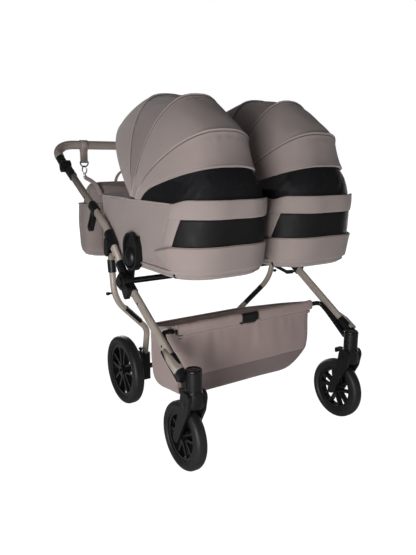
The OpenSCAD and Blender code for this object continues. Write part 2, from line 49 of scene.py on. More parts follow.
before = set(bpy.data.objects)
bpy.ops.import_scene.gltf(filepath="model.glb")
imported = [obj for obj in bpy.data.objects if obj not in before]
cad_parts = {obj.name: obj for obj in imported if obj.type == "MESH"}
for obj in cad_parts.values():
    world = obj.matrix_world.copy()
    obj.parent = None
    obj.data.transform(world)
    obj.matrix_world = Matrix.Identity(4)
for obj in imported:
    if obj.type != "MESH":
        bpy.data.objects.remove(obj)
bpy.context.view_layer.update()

# Stations run along Y from the front axle, in millimetres, as in the part's source
SHIFT = -431.678
TUBE_X = 358.0
COT_X = 180.5
COT_HALF = 158.0
COT_FRONT, COT_BACK = -65.0, 582.0
FRONT_R, BACK_R = 120.0, 90.0
RIM_Z, FLOOR_Z = 786.0, 580.0
STUD_Y, STUD_Z = 276.0, 799.0
BAR_Y, BAR_Z = 924.36, 969.88
CASTER_X, CASTER_Y = 322.0, -53.0
SIDES = (("left", -1), ("right", 1))
# The finishes by name
FINISH = {}


class PramSizes(bpy.types.PropertyGroup):
    """Sizes of the soft goods and trim"""

    piping: FloatProperty(
        name="Piping", description="Radius of the sewn piping", default=0.0022, unit="LENGTH"
    )
    thread: FloatProperty(
        name="Thread", description="Radius of the sewing thread", default=0.0006, unit="LENGTH"
    )
    stitch: FloatProperty(
        name="Stitch", description="Distance between stitches", default=0.0055, unit="LENGTH"
    )
    hood_puff: FloatProperty(
        name="Hood hollow", description="How far the hood cloth draws in between its bows",
        default=0.009, unit="LENGTH",
    )
    rivet: FloatProperty(
        name="Rivet", description="Radius of the rivet heads", default=0.0042, unit="LENGTH"
    )
    tread_blocks: IntProperty(
        name="Tread blocks", description="Blocks around each tyre", default=60
    )


class PramColours(bpy.types.PropertyGroup):
    """Colours of the finishes"""

    cloth: FloatVectorProperty(
        name="Cloth", description="Woven outer cloth", subtype="COLOR", size=3,
        default=(0.285, 0.234, 0.222),
    )
    tube: FloatVectorProperty(
        name="Tube", description="Satin frame tubes", subtype="COLOR", size=3,
        default=(0.33, 0.285, 0.245),
    )
    plastic: FloatVectorProperty(
        name="Plastic", description="Moulded black parts", subtype="COLOR", size=3,
        default=(0.0055, 0.0055, 0.0065),
    )
    rubber: FloatVectorProperty(
        name="Rubber", description="Tyres", subtype="COLOR", size=3, default=(0.009, 0.009, 0.0095)
    )
    leather: FloatVectorProperty(
        name="Leatherette", description="Grip and straps", subtype="COLOR", size=3,
        default=(0.30, 0.245, 0.22),
    )
    lining: FloatVectorProperty(
        name="Lining", description="Mattress and lining", subtype="COLOR", size=3,
        default=(0.72, 0.70, 0.67),
    )


# Finishes


def add_node(tree, kind, *feeds, **values):
    """Node with its first sockets fed in order, and the rest set by name"""
    made = tree.nodes.new(kind)
    for key, value in values.items():
        if key[0].islower():
            setattr(made, key, value)
    pairs = list(zip(made.inputs, feeds))
    pairs += [(made.inputs[key.replace("_", " ")], value)
              for key, value in values.items() if key[0].isupper()]
    for socket, value in pairs:
        if isinstance(value, bpy.types.NodeSocket):
            tree.links.new(value, socket)
        else:
            socket.default_value = value
    return made


class Finish:
    """One procedural material, with short calls for its nodes"""

    def __init__(self, name, colour, roughness, metallic=0.0):
        self.material = bpy.data.materials.new(name)
        self.material.use_nodes = True
        self.tree = self.material.node_tree
        self.shader = self.tree.nodes["Principled BSDF"]
        self.colour = tuple(colour)
        self.set("Base Color", self.colour + (1.0,))
        self.set("Roughness", roughness)
        self.set("Metallic", metallic)
        self.place = self.node("ShaderNodeTexCoord")["Object"]

    def set(self, socket, value):
        self.shader.inputs[socket].default_value = value

    def to(self, socket, out):
        self.tree.links.new(out, self.shader.inputs[socket])

    def node(self, kind, *feeds, **values):
        return add_node(self.tree, kind, *feeds, **values).outputs

    def cut_place(self):
        return self.node("ShaderNodeUVMap", uv_map="Cut")["UV"]

    def grain(self, scale, detail=3.0):
        return self.node("ShaderNodeTexNoise", Vector=self.place, Scale=scale, Detail=detail,
                         Roughness=0.55)["Fac"]

    def tone(self, fac, low, high, start=0.3, end=0.7):
        """Base colour between two shares of the finish's own colour"""
        ramp = add_node(self.tree, "ShaderNodeValToRGB", fac)
        ends = ramp.color_ramp.elements
        ends[0].position, ends[1].position = start, end
        ends[0].color = tuple(c * low for c in self.colour) + (1.0,)
        ends[1].color = tuple(min(1.0, c * high) for c in self.colour) + (1.0,)
        return ramp.outputs["Color"]

    def between(self, fac, low, high):
        return self.node("ShaderNodeMapRange", Value=fac, To_Min=low, To_Max=high)["Result"]

    def math(self, operation, a, b):
        return self.node("ShaderNodeMath", a, b, operation=operation)["Value"]

    def bump(self, height, strength, distance, **after):
        return self.node("ShaderNodeBump", Height=height, Strength=strength, Distance=distance,
                         **after)["Normal"]


def woven(name, colour, threads=620.0):
    """Plain weave on the cloth's own cut, with a little melange"""
    made = Finish(name, colour, 0.86)
    made.set("Sheen Weight", 0.25)
    made.set("Sheen Roughness", 0.45)
    cut = made.cut_place()
    waves = [made.node("ShaderNodeTexWave", bands_direction=direction, Vector=cut,
                       Scale=threads / 2, Distortion=0.6, Detail=1.0, Detail_Scale=1.5)["Fac"]
             for direction in ("X", "Y")]
    weave = made.math("MULTIPLY", *waves)
    faded = made.math("MULTIPLY", made.grain(5.0, 5.0), 0.75)
    flecks = made.math("MULTIPLY", made.grain(1400.0, 2.0), 0.25)
    made.to("Base Color", made.tone(made.math("ADD", faded, flecks), 0.90, 1.10))
    made.to("Roughness", made.between(weave, 0.92, 0.78))
    soft = made.bump(made.grain(26.0, 4.0), 0.25, 0.004)
    made.to("Normal", made.bump(weave, 0.55, 0.00035, Normal=soft))
    return made.material


def surface(name, colour, tint, gloss, relief=None, metallic=0.0, specular=0.5):
    """Hard finish: tint and gloss are (grain, detail, low, high), relief ends in strength, depth"""
    made = Finish(name, colour, sum(gloss[2:]) / 2, metallic)
    made.set("Specular IOR Level", specular)
    made.to("Base Color", made.tone(made.grain(*tint[:2]), *tint[2:]))
    made.to("Roughness", made.between(made.grain(*gloss[:2]), *gloss[2:]))
    if relief:
        made.to("Normal", made.bump(made.grain(*relief[:2]), *relief[2:]))
    return made.material


def leatherette(name, colour):
    """Pressed grain of small rounded cells"""
    made = Finish(name, colour, 0.55)
    height = made.node("ShaderNodeTexVoronoi", feature="SMOOTH_F1", Vector=made.place, Scale=620.0,
                       Smoothness=0.35)["Distance"]
    made.to("Base Color", made.tone(made.grain(18.0, 5.0), 0.90, 1.10))
    made.to("Roughness", made.between(height, 0.66, 0.46))
    made.to("Normal", made.bump(height, 0.35, 0.0005))
    return made.material


def knitted_net(name, colour, alpha):
    """Black warp-knit net: small holes in rows"""
    made = Finish(name, colour, 0.8)
    made.set("Alpha", alpha)
    made.set("Specular IOR Level", 0.2)
    holes = made.node("ShaderNodeTexVoronoi", feature="F1", Vector=made.cut_place(), Scale=520.0,
                      Randomness=0.12)["Distance"]
    made.to("Base Color", made.tone(holes, 0.55, 1.9, 0.1, 0.6))
    made.to("Roughness", made.between(made.grain(60.0, 3.0), 0.45, 0.75))
    made.to("Normal", made.bump(holes, 0.35, 0.0005))
    return made.material


# Cloth finishes: material name, shares of the main cloth's red, green and blue, threads in a metre
CLOTHS = {
    "cloth": ("Cloth taupe", (1.0, 1.0, 1.0), 620.0),
    # Painted shade: a darker copy of the cloth for the hood's middle gore
    "shade": ("Cloth taupe painted shade", (0.76, 0.76, 0.76), 620.0),
    "bag": ("Cloth taupe bag", (0.92, 0.92, 0.92), 620.0),
    # Partly painted light: a brighter, warmer copy of the cloth for the basket
    "basket": ("Cloth taupe basket partly painted light", (1.12, 1.04, 1.04), 620.0),
    # Painted shade: a darker copy of the cloth for the basket's underside and the shaded lines
    # beside the bag pockets
    "under": ("Cloth taupe painted shade underside", (0.62, 0.54, 0.54), 620.0),
    # Painted light: a copy of the cloth at twice its brightness for the inside of the basket
    "inside": ("Cloth taupe painted light basket inside", (2.0, 2.0, 2.0), 620.0),
    # Partly painted highlight: the piping, lighter than the cloth so its ridges read as lit lines
    "pipe": ("Cloth piping painted highlight", (1.10, 1.10, 1.10), 900.0),
    # Painted shadow: a dark copy of the cloth for the thin lines in the folds beside seams
    "shadow": ("Cloth painted seam shadow", (0.30, 0.30, 0.30), 900.0),
}


def make_finishes():
    """Every cloth, metal, plastic and rubber finish"""
    c = bpy.context.scene.pram_colours
    for key, (name, shares, threads) in CLOTHS.items():
        FINISH[key] = woven(name, [v * share for v, share in zip(c.cloth, shares)], threads)
    FINISH.update({
        "lining": woven("Cloth lining", c.lining, 420.0),
        "tube": surface("Tube champagne", c.tube, (14.0, 4.0, 0.95, 1.10), (60.0, 5.0, 0.38, 0.54),
                        (2400.0, 2.0, 0.12, 0.0003), metallic=0.10),
        "rubber": surface("Rubber black", c.rubber, (30.0, 6.0, 0.8, 1.45),
                          (120.0, 4.0, 0.40, 0.62), (700.0, 3.0, 0.3, 0.0006), specular=0.36),
        "leather": leatherette("Leatherette taupe", c.leather),
        "net": knitted_net("Net black", (0.005, 0.005, 0.006), 0.93),
        "window": knitted_net("Net window", (0.0045, 0.0045, 0.0052), 1.0),
        "thread": leatherette("Thread taupe", [v * 1.5 for v in c.cloth]),
        "trim": leatherette("Trim tan", (0.20, 0.145, 0.105)),
    })
    for key, name, low, high in (("plastic", "Plastic black", 0.24, 0.44),
                                 ("gloss", "Plastic black satin", 0.12, 0.32)):
        FINISH[key] = surface(name, c.plastic, (40.0, 4.0, 0.85, 1.25), (90.0, 5.0, low, high),
                              (1500.0, 2.0, 0.22, 0.0004), specular=0.28)
    for key, name, colour in (("metal", "Metal plated", (0.62, 0.62, 0.63)),
                              ("dark_metal", "Metal black", (0.05, 0.05, 0.052))):
        FINISH[key] = surface(name, colour, (50.0, 3.0, 0.88, 1.05), (180.0, 4.0, 0.16, 0.34),
                              metallic=1.0)


# Shapes


def at(x, y, z):
    """A point in the frame from station millimetres"""
    return Vector((x / 1000, (y + SHIFT) / 1000, z / 1000))


def show(name, mesh):
    """Object of a mesh in the scene"""
    piece = bpy.data.objects.new(name, mesh)
    bpy.context.scene.collection.objects.link(piece)
    return piece


def soften(mesh, smooth=True):
    """Smooth or flat shading on every face"""
    mesh.polygons.foreach_set("use_smooth", [smooth] * len(mesh.polygons))


def solid(name, points, faces, finish):
    """Closed mesh with its doubles merged and its faces outward"""
    mesh = bpy.data.meshes.new(name)
    mesh.from_pydata([tuple(p) for p in points], [], faces)
    mesh.materials.append(FINISH[finish])
    work = bmesh.new()
    work.from_mesh(mesh)
    bmesh.ops.remove_doubles(work, verts=work.verts, dist=1e-6)
    bmesh.ops.recalc_face_normals(work, faces=work.faces)
    work.to_mesh(mesh)
    work.free()
    soften(mesh)
    return show(name, mesh)


def settle(piece, *modifiers):
    """Adds modifiers as (type, values), and keeps the evaluated mesh"""
    for kind, values in modifiers:
        made = piece.modifiers.new(kind.lower(), kind)
        for key, value in values.items():
            setattr(made, key, value)
    seen = piece.evaluated_get(bpy.context.evaluated_depsgraph_get())
    mesh = bpy.data.meshes.new_from_object(seen)
    piece.modifiers.clear()
    old = piece.data
    piece.data = mesh
    bpy.data.meshes.remove(old)
    return piece


def outward(piece):
    """Turns a piece's faces outward"""
    work = bmesh.new()
    work.from_mesh(piece.data)
    bmesh.ops.recalc_face_normals(work, faces=work.faces)
    work.to_mesh(piece.data)
    work.free()
    return piece


def grid_faces(rows, count, wrap):
    """Quads between neighbouring rows of count points"""
    return [(i * count + j, i * count + (j + 1) % count,
             (i + 1) * count + (j + 1) % count, (i + 1) * count + j)
            for i in range(rows - 1) for j in range(count if wrap else count - 1)]


def lattice(name, rows, finish, thick=0.003, wrap=False):
    """Cloth through rows of points, with its cut kept as a UV map in metres"""
    count = len(rows[0])
    last = count if wrap else count - 1
    mesh = bpy.data.meshes.new(name)
    mesh.from_pydata([tuple(p) for row in rows for p in row], [],
                     grid_faces(len(rows), count, wrap))
    mesh.materials.append(FINISH[finish])
    middle = rows[len(rows) // 2]
    across = [0.0]
    for j in range(1, count + 1):
        across.append(across[-1] + (middle[j % count] - middle[j - 1]).length)
    down = [0.0]
    for i in range(1, len(rows)):
        down.append(down[-1] + (rows[i][count // 2] - rows[i - 1][count // 2]).length)
    layer = mesh.uv_layers.new(name="Cut")
    for face in mesh.polygons:
        i, j = divmod(face.index, last)
        corners = ((j, i), (j + 1, i), (j + 1, i + 1), (j, i + 1))
        for loop, (a, b) in zip(face.loop_indices, corners):
            layer.data[loop].uv = (across[a], down[b])
    soften(mesh)
    piece = show(name, mesh)
    if thick:
        settle(piece, ("SOLIDIFY", dict(thickness=thick, offset=-1.0)))
        outward(piece)
    return piece


def worn(piece, body, node=None):
    """Hides the node a piece stands for and puts the piece on the body it rides on"""
    if node:
        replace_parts(piece, node)
    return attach(piece, body)


def cloth_sheet(piece):
    """Hands back a piece of cloth as it is"""
    return piece


def ring(radius, count=14, flat=1.0):
    """Round or flattened section, in millimetres"""
    return [(radius * cos(2 * pi * k / count),
             radius * flat * sin(2 * pi * k / count)) for k in range(count)]


def oval(high, thick, count=32):
    """Flat-oval section of the frame tubes"""
    made = []
    for k in range(count):
        a = 2 * pi * (k + 0.5) / count
        lift = (high - thick) / 2 * (1 if cos(a) > 0 else -1)
        made.append((lift + thick / 2 * cos(a), thick / 2 * sin(a)))
    return made


def squared(high, wide, power, count):
    """Rounded-square section from its half height and half width"""
    made = []
    for a in span(0.0, 2 * pi, count + 1)[:-1]:
        ca, sa = cos(a), sin(a)
        made.append((high * copysign(abs(ca) ** (2 / power), ca),
                     wide * copysign(abs(sa) ** (2 / power), sa)))
    return made


def swept(points, section, closed=False, up=Vector((0, 0, 1)), sizes=None):
    """Rings of a section carried along points, without twist"""
    count = len(points)
    rings = []
    previous = None
    for i, p in enumerate(points):
        a = points[(i - 1) % count] if closed or i else p
        b = points[(i + 1) % count] if closed or i < count - 1 else p
        along = (b - a).normalized()
        side = (previous if previous is not None else up).cross(along)
        if side.length < 1e-6:
            side = along.orthogonal()
        side.normalize()
        top = along.cross(side).normalized()
        previous = top
        size = sizes[i] if sizes else 1.0
        rings.append([p + (top * u + side * v) * (size / 1000) for u, v in section])
    return rings


def rod(name, points, section, finish, closed=False, up=Vector((0, 0, 1)), sizes=None):
    """Closed tube, rod or strap along points"""
    rings = swept(points, section, closed, up, sizes)
    n, m = len(section), len(rings)
    spans = m if closed else m - 1
    faces = [(i * n + k, i * n + (k + 1) % n, ((i + 1) % m) * n + (k + 1) % n,
              ((i + 1) % m) * n + k) for i in range(spans) for k in range(n)]
    if not closed:
        faces += [tuple(range(n)), tuple(range((m - 1) * n, m * n))]
    return solid(name, [p for r in rings for p in r], faces, finish)


def stacked(name, x, y, levels, finish):
    """Closed upright form from oval levels: (height, half width, half depth, shift in y)"""
    turns = span(0.0, 2 * pi, 41)[:-1]
    count = len(turns)
    points = [at(x + wide * cos(a), y + shift + deep * sin(a), z)
              for z, wide, deep, shift in levels for a in turns]
    faces = grid_faces(len(levels), count, True)
    faces += [tuple(range(count)), tuple(range(len(points) - count, len(points)))]
    return solid(name, points, faces, finish)


def joined(name, pieces):
    """Several meshes of one body as one piece"""
    work = bmesh.new()
    materials = []
    for piece in pieces:
        places = []
        for material in piece.data.materials:
            if material not in materials:
                materials.append(material)
            places.append(materials.index(material))
        start = len(work.faces)
        work.from_mesh(piece.data)
        work.faces.ensure_lookup_table()
        for face in work.faces[start:]:
            face.material_index = places[face.material_index] if places else 0
    mesh = bpy.data.meshes.new(name)
    work.to_mesh(mesh)
    work.free()
    for material in materials:
        mesh.materials.append(material)
    for piece in pieces:
        old = piece.data
        bpy.data.objects.remove(piece)
        bpy.data.meshes.remove(old)
    return show(name, mesh)


def smooth_path(points, steps=8):
    """Catmull-Rom points through the given ones"""
    made = []
    last = len(points) - 1
    for i in range(last):
        a, b, c, d = (points[max(0, min(last, i + k))] for k in (-1, 0, 1, 2))
        for k in range(steps):
            t = k / steps
            made.append(0.5 * (2 * b + (c - a) * t + (2 * a - 5 * b + 4 * c - d) * t * t
                               + (3 * b - a - 3 * c + d) * t ** 3))
    made.append(points[last].copy())
    return made


def filleted(points, radii, steps=10):
    """Route with circular bends"""
    made = [points[0]]
    for i in range(1, len(points) - 1):
        a = (points[i] - points[i - 1]).normalized()
        b = (points[i + 1] - points[i]).normalized()
        turn = a.angle(b)
        reach = radii[i] / 1000 * tan(turn / 2)
        start = points[i] - a * reach
        centre = start + (b - a * a.dot(b)).normalized() * radii[i] / 1000
        arm = start - centre
        for k in range(steps + 1):
            t = turn * k / steps
            made.append(centre + arm * cos(t) + a * radii[i] / 1000 * sin(t))
    made.append(points[-1])
    return made


def span(a, b, count):
    """Even numbers from a to b"""
    return [a + (b - a) * k / (count - 1) for k in range(count)]


def rough(a, b, c):
    """Smooth noise at three numbers"""
    return noise.noise(Vector((a, b, c)))


def ripple(p, scale, seed=0.0):
    """Smooth noise over a surface"""
    return noise.noise(p * scale + Vector((seed, seed * 1.7, seed * 0.3)))


# Repeats made with geometry nodes


def copies_tree(name, sizes, lay):
    """Node tree that lays copies of one form, as a real mesh with a material"""
    tree = bpy.data.node_groups.get(name)
    if tree:
        return tree
    tree = bpy.data.node_groups.new(name, "GeometryNodeTree")
    for label, kind in (("Geometry", "Geometry"), *sizes, ("Material", "Material")):
        tree.interface.new_socket(label, in_out="INPUT", socket_type=f"NodeSocket{kind}")
    tree.interface.new_socket("Geometry", in_out="OUTPUT", socket_type="NodeSocketGeometry")

    def add(kind, *feeds, **values):
        return add_node(tree, kind, *feeds, **values).outputs

    given = add("NodeGroupInput")
    laid = add("GeometryNodeInstanceOnPoints", **lay(add, given))
    real = add("GeometryNodeRealizeInstances", laid["Instances"])
    paint = add("GeometryNodeSetMaterial", Geometry=real["Geometry"], Material=given["Material"])
    add("NodeGroupOutput", paint["Geometry"])
    return tree


def lay_stitches(add, given):
    """Thread beads along every edge path, each drawn out to 0.72 of its spacing"""
    path = add("GeometryNodeMeshToCurve", given["Geometry"])
    points = add("GeometryNodeCurveToPoints", mode="LENGTH", Curve=path["Curve"],
                 Length=given["Spacing"])
    bead = add("GeometryNodeMeshUVSphere", Segments=6, Rings=4, Radius=given["Thread"])
    share = add("ShaderNodeMath", given["Spacing"], given["Thread"], operation="DIVIDE")
    drawn_out = add("ShaderNodeMath", share["Value"], 0.36, operation="MULTIPLY")
    stretch = add("ShaderNodeCombineXYZ", 1.0, 1.0, drawn_out["Value"])
    return dict(Points=points["Points"], Instance=bead["Mesh"], Rotation=points["Rotation"],
                Scale=stretch["Vector"])


def lay_rivets(add, given):
    """Domed rivet head on each point, turned to the point's facing"""
    facing = add("GeometryNodeInputNamedAttribute", data_type="FLOAT_VECTOR", Name="facing")
    turn = add("FunctionNodeAlignRotationToVector", axis="Z", Vector=facing["Attribute"])
    dome = add("GeometryNodeMeshUVSphere", Segments=16, Rings=8, Radius=given["Radius"])
    return dict(Points=given["Geometry"], Instance=dome["Mesh"], Rotation=turn["Rotation"],
                Scale=(1.0, 1.0, 0.45))


# Height and length of a tread block, in metres
TREAD_HIGH, TREAD_LONG = 0.0024, 0.0062


def lay_tread(add, given):
    """Blocks set around an axle, each at the tyre's radius"""
    circle = add("GeometryNodeMeshCircle", Vertices=given["Count"], Radius=given["Radius"])
    spread = add("GeometryNodeInputPosition")
    turn = add("FunctionNodeAlignRotationToVector", axis="X", pivot_axis="Z",
               Vector=spread["Position"])
    size = add("ShaderNodeCombineXYZ", TREAD_HIGH, TREAD_LONG, given["Width"])
    block = add("GeometryNodeMeshCube", Size=size["Vector"])
    return dict(Points=circle["Mesh"], Instance=block["Mesh"], Rotation=turn["Rotation"])


def grown(name, tree, source, values):
    """Plain mesh of a node tree on a source mesh"""
    piece = show(name, source)
    modifier = piece.modifiers.new("grow", "NODES")
    modifier.node_group = tree
    for item in tree.interface.items_tree:
        if item.in_out == "INPUT" and item.name in values:
            modifier[item.identifier] = values[item.name]
    settle(piece)
    soften(piece.data)
    return piece


def stitches(name, paths):
    """One mesh of stitches along several paths"""
    sizes = bpy.context.scene.pram_sizes
    points, edges = [], []
    for path in paths:
        edges += [(len(points) + k, len(points) + k + 1) for k in range(len(path) - 1)]
        points += [tuple(p) for p in path]
    source = bpy.data.meshes.new(name)
    source.from_pydata(points, edges, [])
    tree = copies_tree("Stitches", (("Spacing", "Float"), ("Thread", "Float")), lay_stitches)
    return grown(name, tree, source, {
        "Spacing": sizes.stitch, "Thread": sizes.thread, "Material": FINISH["thread"]})


def rivets(name, spots, radius, finish):
    """Heads at (point, direction) pairs"""
    source = bpy.data.meshes.new(name)
    source.from_pydata([tuple(p) for p, _ in spots], [], [])
    facing = source.attributes.new("facing", "FLOAT_VECTOR", "POINT")
    for k, (_, direction) in enumerate(spots):
        facing.data[k].vector = direction
    tree = copies_tree("Rivets", (("Radius", "Float"),), lay_rivets)
    return grown(name, tree, source, {"Radius": radius, "Material": FINISH[finish]})


# Carrycot outline


def plan(s):
    """Point and outward direction on the rim, s mm round from the front centre"""
    a, sign = abs(s), (1 if s >= 0 else -1)
    flat = COT_HALF - FRONT_R
    arc = FRONT_R * pi / 2
    run = COT_BACK - BACK_R - COT_FRONT - FRONT_R
    back_arc = BACK_R * pi / 2
    if a < flat:
        x, y, nx, ny = a, COT_FRONT, 0.0, -1.0
    elif a < flat + arc:
        t = (a - flat) / FRONT_R
        x, y = flat + FRONT_R * sin(t), COT_FRONT + FRONT_R * (1 - cos(t))
        nx, ny = sin(t), -cos(t)
    elif a < flat + arc + run:
        x, y, nx, ny = COT_HALF, COT_FRONT + FRONT_R + a - flat - arc, 1.0, 0.0
    elif a < flat + arc + run + back_arc:
        t = (a - flat - arc - run) / BACK_R
        x, y = COT_HALF - BACK_R * (1 - cos(t)), COT_BACK - BACK_R + BACK_R * sin(t)
        nx, ny = cos(t), sin(t)
    else:
        x, y, nx, ny = COT_HALF - BACK_R - (a - flat - arc - run - back_arc), COT_BACK, 0.0, 1.0
    return sign * x, y, sign * nx, ny


HALF_ROUND = (COT_HALF - FRONT_R + FRONT_R * pi / 2
              + COT_BACK - BACK_R - COT_FRONT - FRONT_R
              + BACK_R * pi / 2 + COT_HALF - BACK_R)


def tub(c, s, z, off=0.0):
    """Point on the tub wall of the cot centred at x = c"""
    x, y, nx, ny = plan(s)
    k = (RIM_Z - z) / (RIM_Z - FLOOR_Z)
    y += k * (22.0 - 82.0 * (y - COT_FRONT) / (COT_BACK - COT_FRONT))
    belly = 3.0 * sin(pi * max(0.0, min(1.0, k)))
    inset = 0.0
    if z < FLOOR_Z + 18:
        t = min(1.0, (FLOOR_Z + 18 - z) / 26.0)
        inset = 24.0 * (1 - sqrt(max(0.0, 1 - t * t)))
    off += belly - inset
    return at(c + x + nx * off, y + ny * off, z)


def tub_patch(name, c, edge, finish, off, thick, nu, nv, wave=0.0):
    """Panel on the tub wall: edge(u, v) gives (s, z), off(u, v) its height, u and v from 0 to 1"""
    rows = []
    for v in span(0.0, 1.0, nv):
        row = []
        for u in span(0.0, 1.0, nu):
            s, z = edge(u, v)
            lift = off(u, v)
            p = tub(c, s, z, lift)
            if wave:
                p = tub(c, s, z, lift + wave * ripple(p, 14.0, 3.0 + c / 100))
            row.append(p)
        rows.append(row)
    return lattice(name, rows, finish, thick)


def tub_line(c, ends, off, count):
    """Path on the tub wall through (s, z) corners"""
    made = []
    for (s0, z0), (s1, z1) in zip(ends, ends[1:]):
        made += [tub(c, s, z, off) for s, z in zip(span(s0, s1, count), span(z0, z1, count))][:-1]
    made.append(tub(c, *ends[-1], off))
    return made


# Lamps: name, place, size and power
LAMPS = (("key", (-2.05, -1.75, 0.46), 1.1, 56.0), ("fill", (0.9, -3.0, 0.6), 1.6, 6.0),
         ("right", (2.9, 0.5, 0.5), 1.4, 30.0), ("back", (0.9, 3.0, 0.6), 1.4, 46.0))
LAMP_AIM = Vector((0, 0, 0.55))
FLOOR_HALF = 14.0
SENSOR, FOCUS, PHOTO_HIGH = 36.0, 548.0, 555.0
CAMERA_PLACE = (-1.098, -1.288 + SHIFT / 1000, 0.900)
CAMERA_TILT, CAMERA_TURN = radians(78.15), radians(-33.73)


def stage_pieces():
    """Floor, light and camera"""
    scene = bpy.context.scene
    scene.view_settings.view_transform = "Standard"
    world = bpy.data.worlds.new("Studio")
    scene.world = world
    world.use_nodes = True
    tree = world.node_tree
    tree.nodes.clear()
    rays = add_node(tree, "ShaderNodeLightPath").outputs
    seen = add_node(tree, "ShaderNodeMath", rays["Is Camera Ray"], rays["Is Transmission Ray"],
                    operation="MAXIMUM")
    soft = add_node(tree, "ShaderNodeBackground", Color=(1.0, 0.99, 0.98, 1.0), Strength=0.12)
    white = add_node(tree, "ShaderNodeBackground", Color=(1.0, 1.0, 1.0, 1.0))
    mix = add_node(tree, "ShaderNodeMixShader", seen.outputs[0], soft.outputs[0],
                   white.outputs[0])
    add_node(tree, "ShaderNodeOutputWorld", Surface=mix.outputs[0])

    floor = Finish("Floor pale", (0.9, 0.9, 0.9), 0.9)
    floor.to("Base Color", floor.tone(floor.grain(3.0), 0.99, 1.0))
    glow = floor.node("ShaderNodeEmission", Strength=1.14)[0]
    away = floor.node("ShaderNodeVectorMath", floor.place, operation="LENGTH")["Value"]
    fade = floor.node("ShaderNodeMapRange", Value=away, From_Min=0.7, From_Max=2.2, To_Min=0.90,
                      To_Max=1.0)["Result"]
    rays = floor.node("ShaderNodeLightPath")
    share = floor.math("MULTIPLY", rays["Is Camera Ray"], fade)
    mix = floor.node("ShaderNodeMixShader", share, floor.shader.outputs[0], glow)[0]
    floor.tree.links.new(mix, floor.tree.nodes["Material Output"].inputs["Surface"])
    FINISH["floor"] = floor.material
    corners = [Vector((x * FLOOR_HALF, y * FLOOR_HALF, -0.0005))
               for x, y in ((-1, -1), (1, -1), (1, 1), (-1, 1))]
    solid("studio_floor", corners, [(0, 1, 2, 3)], "floor")

    for name, place, size, power in LAMPS:
        lamp = bpy.data.lights.new(name, "AREA")
        lamp.size = size
        lamp.energy = power
        made = bpy.data.objects.new(name, lamp)
        made.location = place
        made.rotation_euler = (LAMP_AIM - Vector(place)).to_track_quat("-Z", "Y").to_euler()
        scene.collection.objects.link(made)

    eye = bpy.data.cameras.new("Camera")
    eye.lens = FOCUS / PHOTO_HIGH * SENSOR
    eye.sensor_width = SENSOR
    camera = bpy.data.objects.new("Camera", eye)
    camera.location = CAMERA_PLACE
    camera.rotation_euler = (CAMERA_TILT, 0.0, CAMERA_TURN)
    scene.collection.objects.link(camera)
    scene.camera = camera


# Rigid nodes by finish, and those that come as a left and right pair
NODE_FINISH = {
    "plastic": ("hub_plates", "leg_brackets", "centre_support", "cot_sockets", "handle_joint_arms",
                "handle_joint_bases", "hub_covers", "caster_heads", "leg_sleeves", "rear_struts",
                "brake_pedal", "basket_rods"),
    "dark_metal": ("pivot_pins", "cross_bar", "fold_links", "rear_axle"),
    "tube": ("handle_tube",),
}
PAIR_FINISH = {
    "plastic": ("fold_lever", "caster_fork", "swivel_lock", "wheel_release", "cot_adapters"),
    "gloss": ("handle_button", "front_rim", "rear_rim"),
    "tube": ("front_leg", "push_tube", "rear_leg"),
    "rubber": ("front_tyre", "rear_tyre"),
}


def paint_nodes():
    """Finishes on the rigid parts that stay as they are"""
    chosen = [(name, finish) for finish, names in NODE_FINISH.items() for name in names]
    chosen += [(f"{pair}_{name}", finish) for finish, pairs in PAIR_FINISH.items()
               for pair in pairs for name, _ in SIDES]
    for name, finish in chosen:
        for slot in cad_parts[name].material_slots:
            slot.material = FINISH[finish]


# Rivets: piece, station across, stations along and up, body
RIVETS = (("tube_rivets", TUBE_X + 9.6, ((356, 595), (604, 778), (724, 844)), "upper_frame"),
          ("front_leg_rivets", 361.6, ((212, 468.3), (60, 372)), "front_frame"))
# Caster cap: height and radius of each level
CAP_LEVELS = ((321, 23.0), (322.5, 24.6), (328, 24.6), (330.4, 23.4), (331.4, 21.0),
              (331.2, 20.0), (330.0, 19.2), (330.3, 10.0), (330.6, 1.0))


